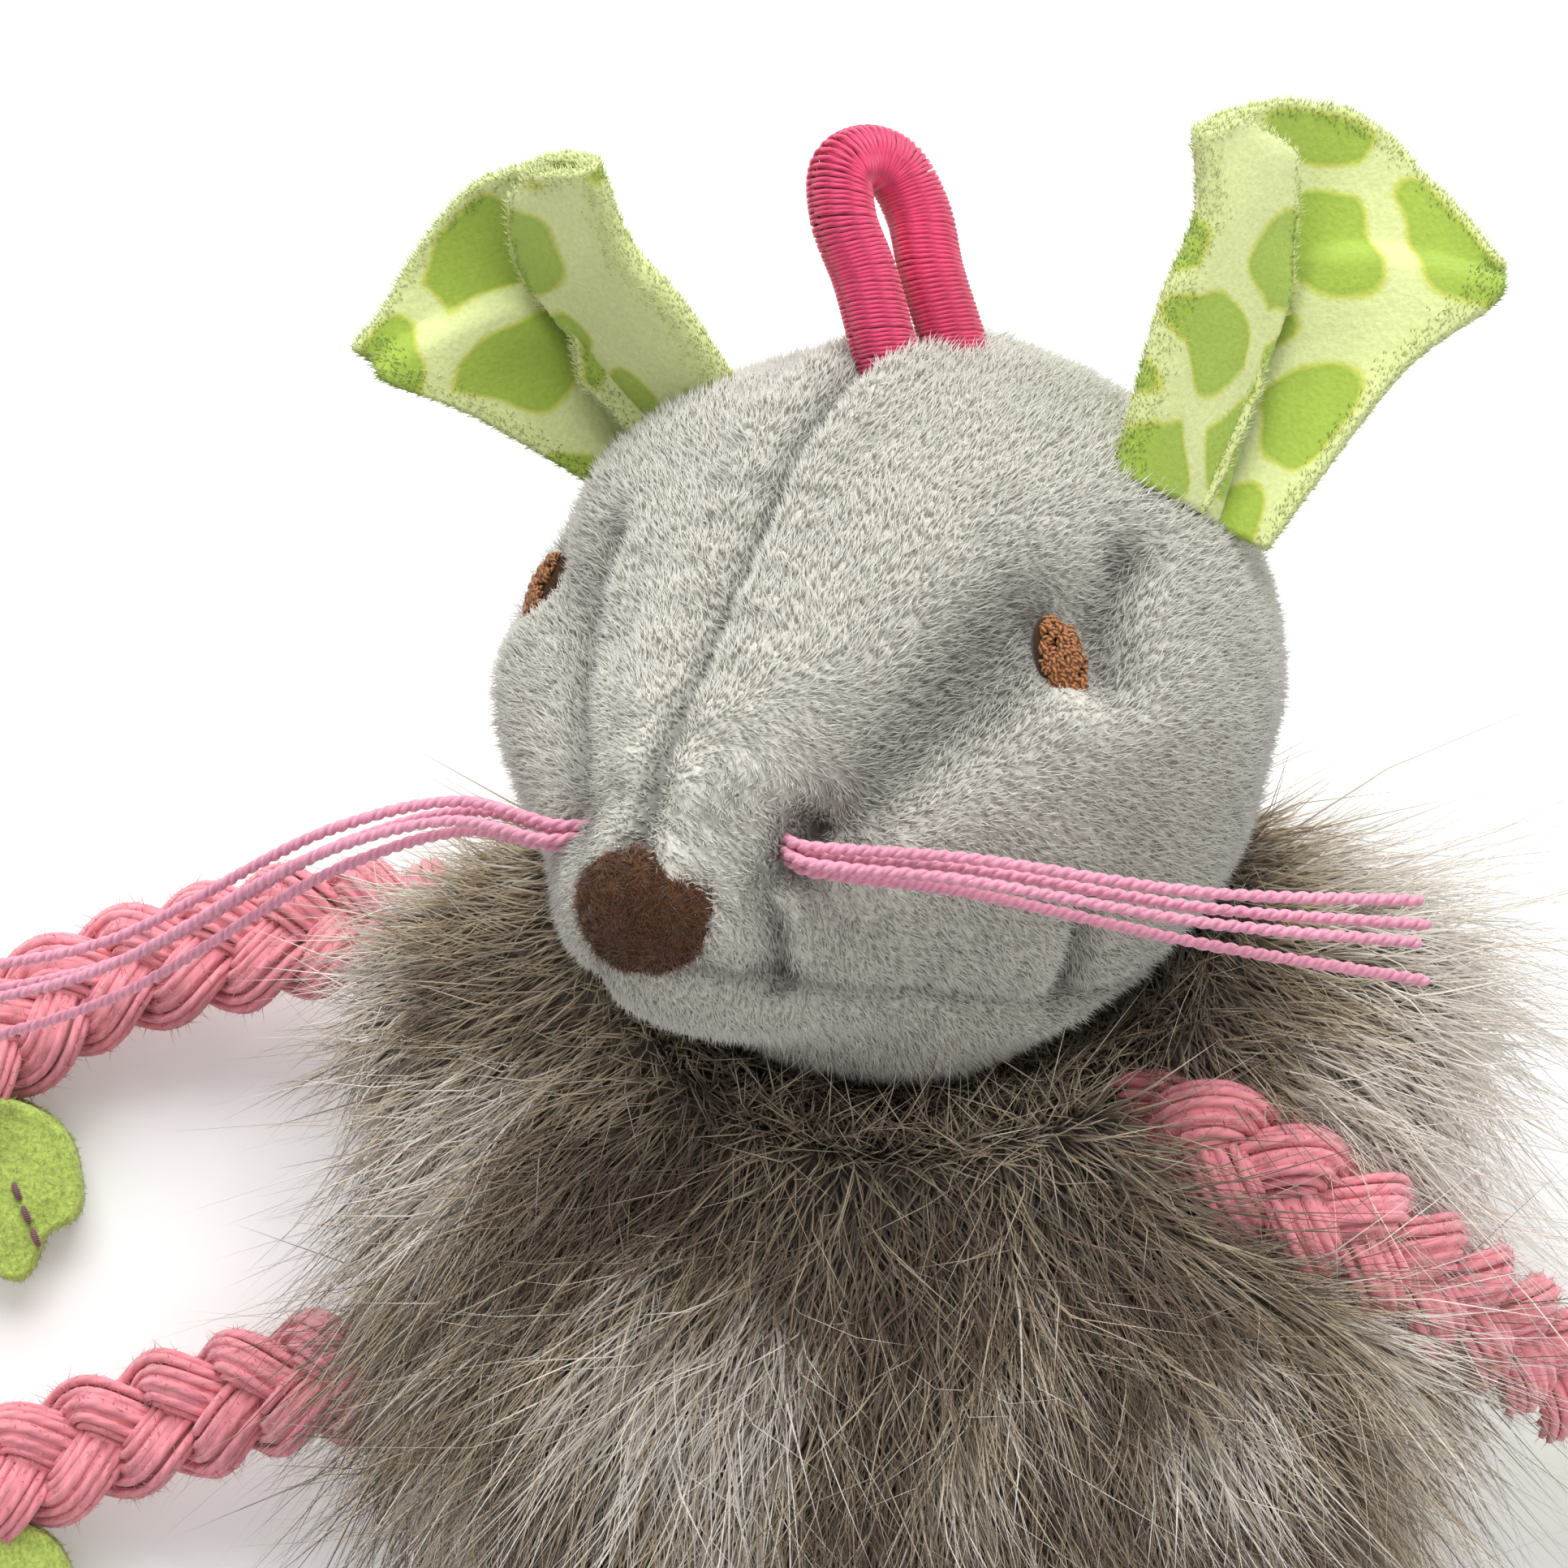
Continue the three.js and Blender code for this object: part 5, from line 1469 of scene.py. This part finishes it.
class TOY_OT_eyes(bpy.types.Operator):
    """Works each eye in close knotted stitches of copper thread"""

    bl_idname = "toy.eyes"
    bl_label = "Eyes"

    def execute(self, context):
        colour = context.scene.toy_colours.eye
        # Rayon embroidery thread, copper brown: painted highlights as bright lines on each round stitch,
        # painted shade between them
        finish = twisted_finish("eye thread", *shades(colour, 0.2, 0.5), 0xB9743A, 1.6 * MM, EYE_STITCHES,
                                0.9 * MM, 0.38, 0.2)
        # The pad under the stitches is painted dark, as the shade between them
        ground = cloth_finish("eye ground", scaled(colour, 0.2), 0.8, 0.3)
        for side, tilt in EYE_TILTS.items():
            side_name = "left" if side < 0 else "right"
            eye = head_direction(tilt, on_side(side, EYE_RISE))
            up = unit(np.array((0, 1, 0)) - eye * eye[1])
            across = np.cross(eye, up)
            rng = np.random.default_rng(95 + side)
            relief = head_relief(eye[None])[0]

            def at(x, y, high):
                """A point beside the eye's middle and above the cloth, in millimetres."""
                direction = unit(eye * head_reach(eye) + across * x * MM + up * y * MM)
                return from_head(head_point(direction, (high - 0.15) * MM + relief))

            turn = np.linspace(0, 2 * pi, 41)
            rows = [np.array([at(1.7 * share * cos(t), 3.2 * share * sin(t), high) for t in turn])
                    for share, high in EYE_PAD_PROFILE]
            pad = show(f"eye_{side_name}_ground", welded(lattice("eye", np.array(rows))))
            pad.data.materials.append(ground)
            lines = []
            for stitch in range(EYE_STITCHES):
                reach, angle = np.sqrt(rng.uniform(0, 1)), rng.uniform(0, 2 * pi)
                x, y = 1.45 * reach * cos(angle), 2.85 * reach * sin(angle)
                way = rng.normal(pi / 2, 0.7)
                long = rng.uniform(0.35, 0.6)
                dome = 1.15 - 0.55 * reach**2 + rng.uniform(-0.1, 0.12)
                steps = [(x + cos(way) * long * s, y + sin(way) * long * s, dome + 0.28 * (1 - s * s))
                         for s in np.linspace(-1, 1, 9)]
                lines.append((np.array([at(*step) for step in steps]), tapered(0.19 * MM, 9, 2)))
            belongs(pad, "head", "eye_thread", f"eye_{side_name}")
            belongs(spun(f"eye_{side_name}_stitches", lines, 6, finish), "head", "eye_thread")
        return {"FINISHED"}


class TOY_OT_elastic_loop(bpy.types.Operator):
    """Winds the cover thread closely round the elastic of the hanging loop"""

    bl_idname = "toy.elastic_loop"
    bl_label = "Elastic loop"

    def execute(self, context):
        colour = context.scene.toy_colours.elastic
        radius = context.scene.toy_sizes.elastic / 2
        outward = head_direction(float(LOOP_TILT), float(LOOP_RISE))
        root = head_point(outward) / MM
        across = unit(np.array((1, 0, 0)) - outward * outward[0])
        twist = radians(LOOP_TWIST)
        across = across * cos(twist) + np.cross(outward, across) * sin(twist)
        up = unit(outward + np.array((LOOP_LEAN, 0, 0)))

        def at(spacing, height, side):
            """A point of the loop by its shares of the spacing and the height."""
            return root + across * side * spacing * LOOP_HALF_SPACING + up * height * LOOP_HEIGHT

        knots = [at(*share, -1) for share in LOOP_SHARES] + [root + up * LOOP_HEIGHT]
        knots += [at(*share, 1) for share in LOOP_SHARES][::-1]
        count = 900
        line = from_head(smooth_route(knots, count) * MM)
        along = unit(np.gradient(line, axis=0))
        normal = unit(np.cross(HEAD_TURN @ up, HEAD_TURN @ across))
        side = unit(np.cross(along, normal))
        top = np.cross(side, along)
        length = np.linalg.norm(np.diff(line, axis=0), axis=1).sum()
        wraps = int(length / LOOP_PITCH)
        lines = [(line[::20], tapered(radius * 0.9, len(line[::20]), 1))]
        rng = np.random.default_rng(100)
        for wrap in range(wraps):
            t = np.linspace(-0.04, 1.04, 27)
            where = np.clip((wrap + t) * LOOP_PITCH / length * (count - 1), 0, count - 1)
            low = where.astype(int)
            middle = line[low]
            angle = 2 * pi * t
            lean = 0.45 * MM * np.cos(angle)
            ring = (side[low] * np.cos(angle)[:, None] + top[low] * np.sin(angle)[:, None]) * radius * 0.95
            wobble = rng.uniform(-0.05, 0.05) * MM
            lines.append((middle + ring + along[low] * (lean + wobble)[:, None], tapered(0.19 * MM, 27, 1)))
        # Covered elastic: viscose wound round a rubber core, with a painted highlight across each turn and
        # painted shade between the turns
        finish = twisted_finish("elastic cover", *shades(colour, 0.75, 1.0, 1.2), 13 * MM, wraps + 1,
                                2.4 * MM, 0.6, 0.3)
        belongs(spun("elastic_loop_cover", lines, 5, finish), "loop", "elastic_cover", "elastic_loop")
        return {"FINISHED"}


class TOY_OT_inside(bpy.types.Operator):
    """Stuffs the head under its folded cover, and finishes the body's filling and the neck thread"""

    bl_idname = "toy.inside"
    bl_label = "Fillings and neck thread"

    def execute(self, context):
        # Siliconised polyester fibre filling: white, springy wads
        filling = cloth_finish("fibre filling", linear(0xEDEBE4), 0.85, 1.2, 0.3, 0.6)
        tilt, rise = np.linspace(0, 180, 61), np.linspace(0, 360, 97)
        directions = head_direction(*np.meshgrid(tilt, rise, indexing="ij"))
        flat = directions.reshape(-1, 3)
        below = FILLING_DEPTH + 0.3 * MM * lumps(flat * 25, 3.5, 61)
        rows = head_point(directions, (head_relief(flat) - below).reshape(directions.shape[:2]))
        rows[[0, -1]] = rows[[0, -1], :1]
        rows[:, -1] = rows[:, 0]
        mesh = welded(lattice("head_wadding", from_head(rows)))
        mesh.materials.append(filling)
        wadding = show("head_wadding", mesh)
        belongs(wadding, "head", "stuffing", "head_filling")
        # Doubled sewing thread of polyester, grey
        thread = cloth_finish("neck seam thread", linear(0x8A8680), 0.6, 0.25, 0.1)
        for node, finish in (("body_filling", filling), ("neck_thread", thread)):
            slots = frame["nodes"][node].data.materials
            slots.clear()
            slots.append(finish)
        return {"FINISHED"}


class TOY_PT_panel(bpy.types.Panel):
    """Lists the toy's pieces, sizes and colours"""

    bl_idname = "TOY_PT_panel"
    bl_label = "Plush mouse"
    bl_space_type = "VIEW_3D"
    bl_region_type = "UI"
    bl_category = "Plush mouse"

    def draw(self, context):
        for group in (context.scene.toy_sizes, context.scene.toy_colours):
            for name in group.__annotations__:
                self.layout.prop(group, name)
        for operator in OPERATORS:
            self.layout.operator(operator.bl_idname)


OPERATORS = (
    TOY_OT_stage, TOY_OT_whiskers, TOY_OT_head_cover, TOY_OT_head_pile, TOY_OT_body_cover, TOY_OT_body_pile,
    TOY_OT_plaits, TOY_OT_paws, TOY_OT_ears, TOY_OT_nose, TOY_OT_eyes, TOY_OT_elastic_loop, TOY_OT_inside,
)
CLASSES = (ToySizes, ToyColours, *OPERATORS, TOY_PT_panel)


def register():
    for item in CLASSES:
        bpy.utils.register_class(item)
    bpy.types.Scene.toy_sizes = bpy.props.PointerProperty(type=ToySizes)
    bpy.types.Scene.toy_colours = bpy.props.PointerProperty(type=ToyColours)


def unregister():
    del bpy.types.Scene.toy_colours
    del bpy.types.Scene.toy_sizes
    for item in reversed(CLASSES):
        bpy.utils.unregister_class(item)


def main():
    register()
    for operator in OPERATORS:
        group, name = operator.bl_idname.split(".")
        getattr(getattr(bpy.ops, group), name)()


if __name__ == "__main__":
    main()
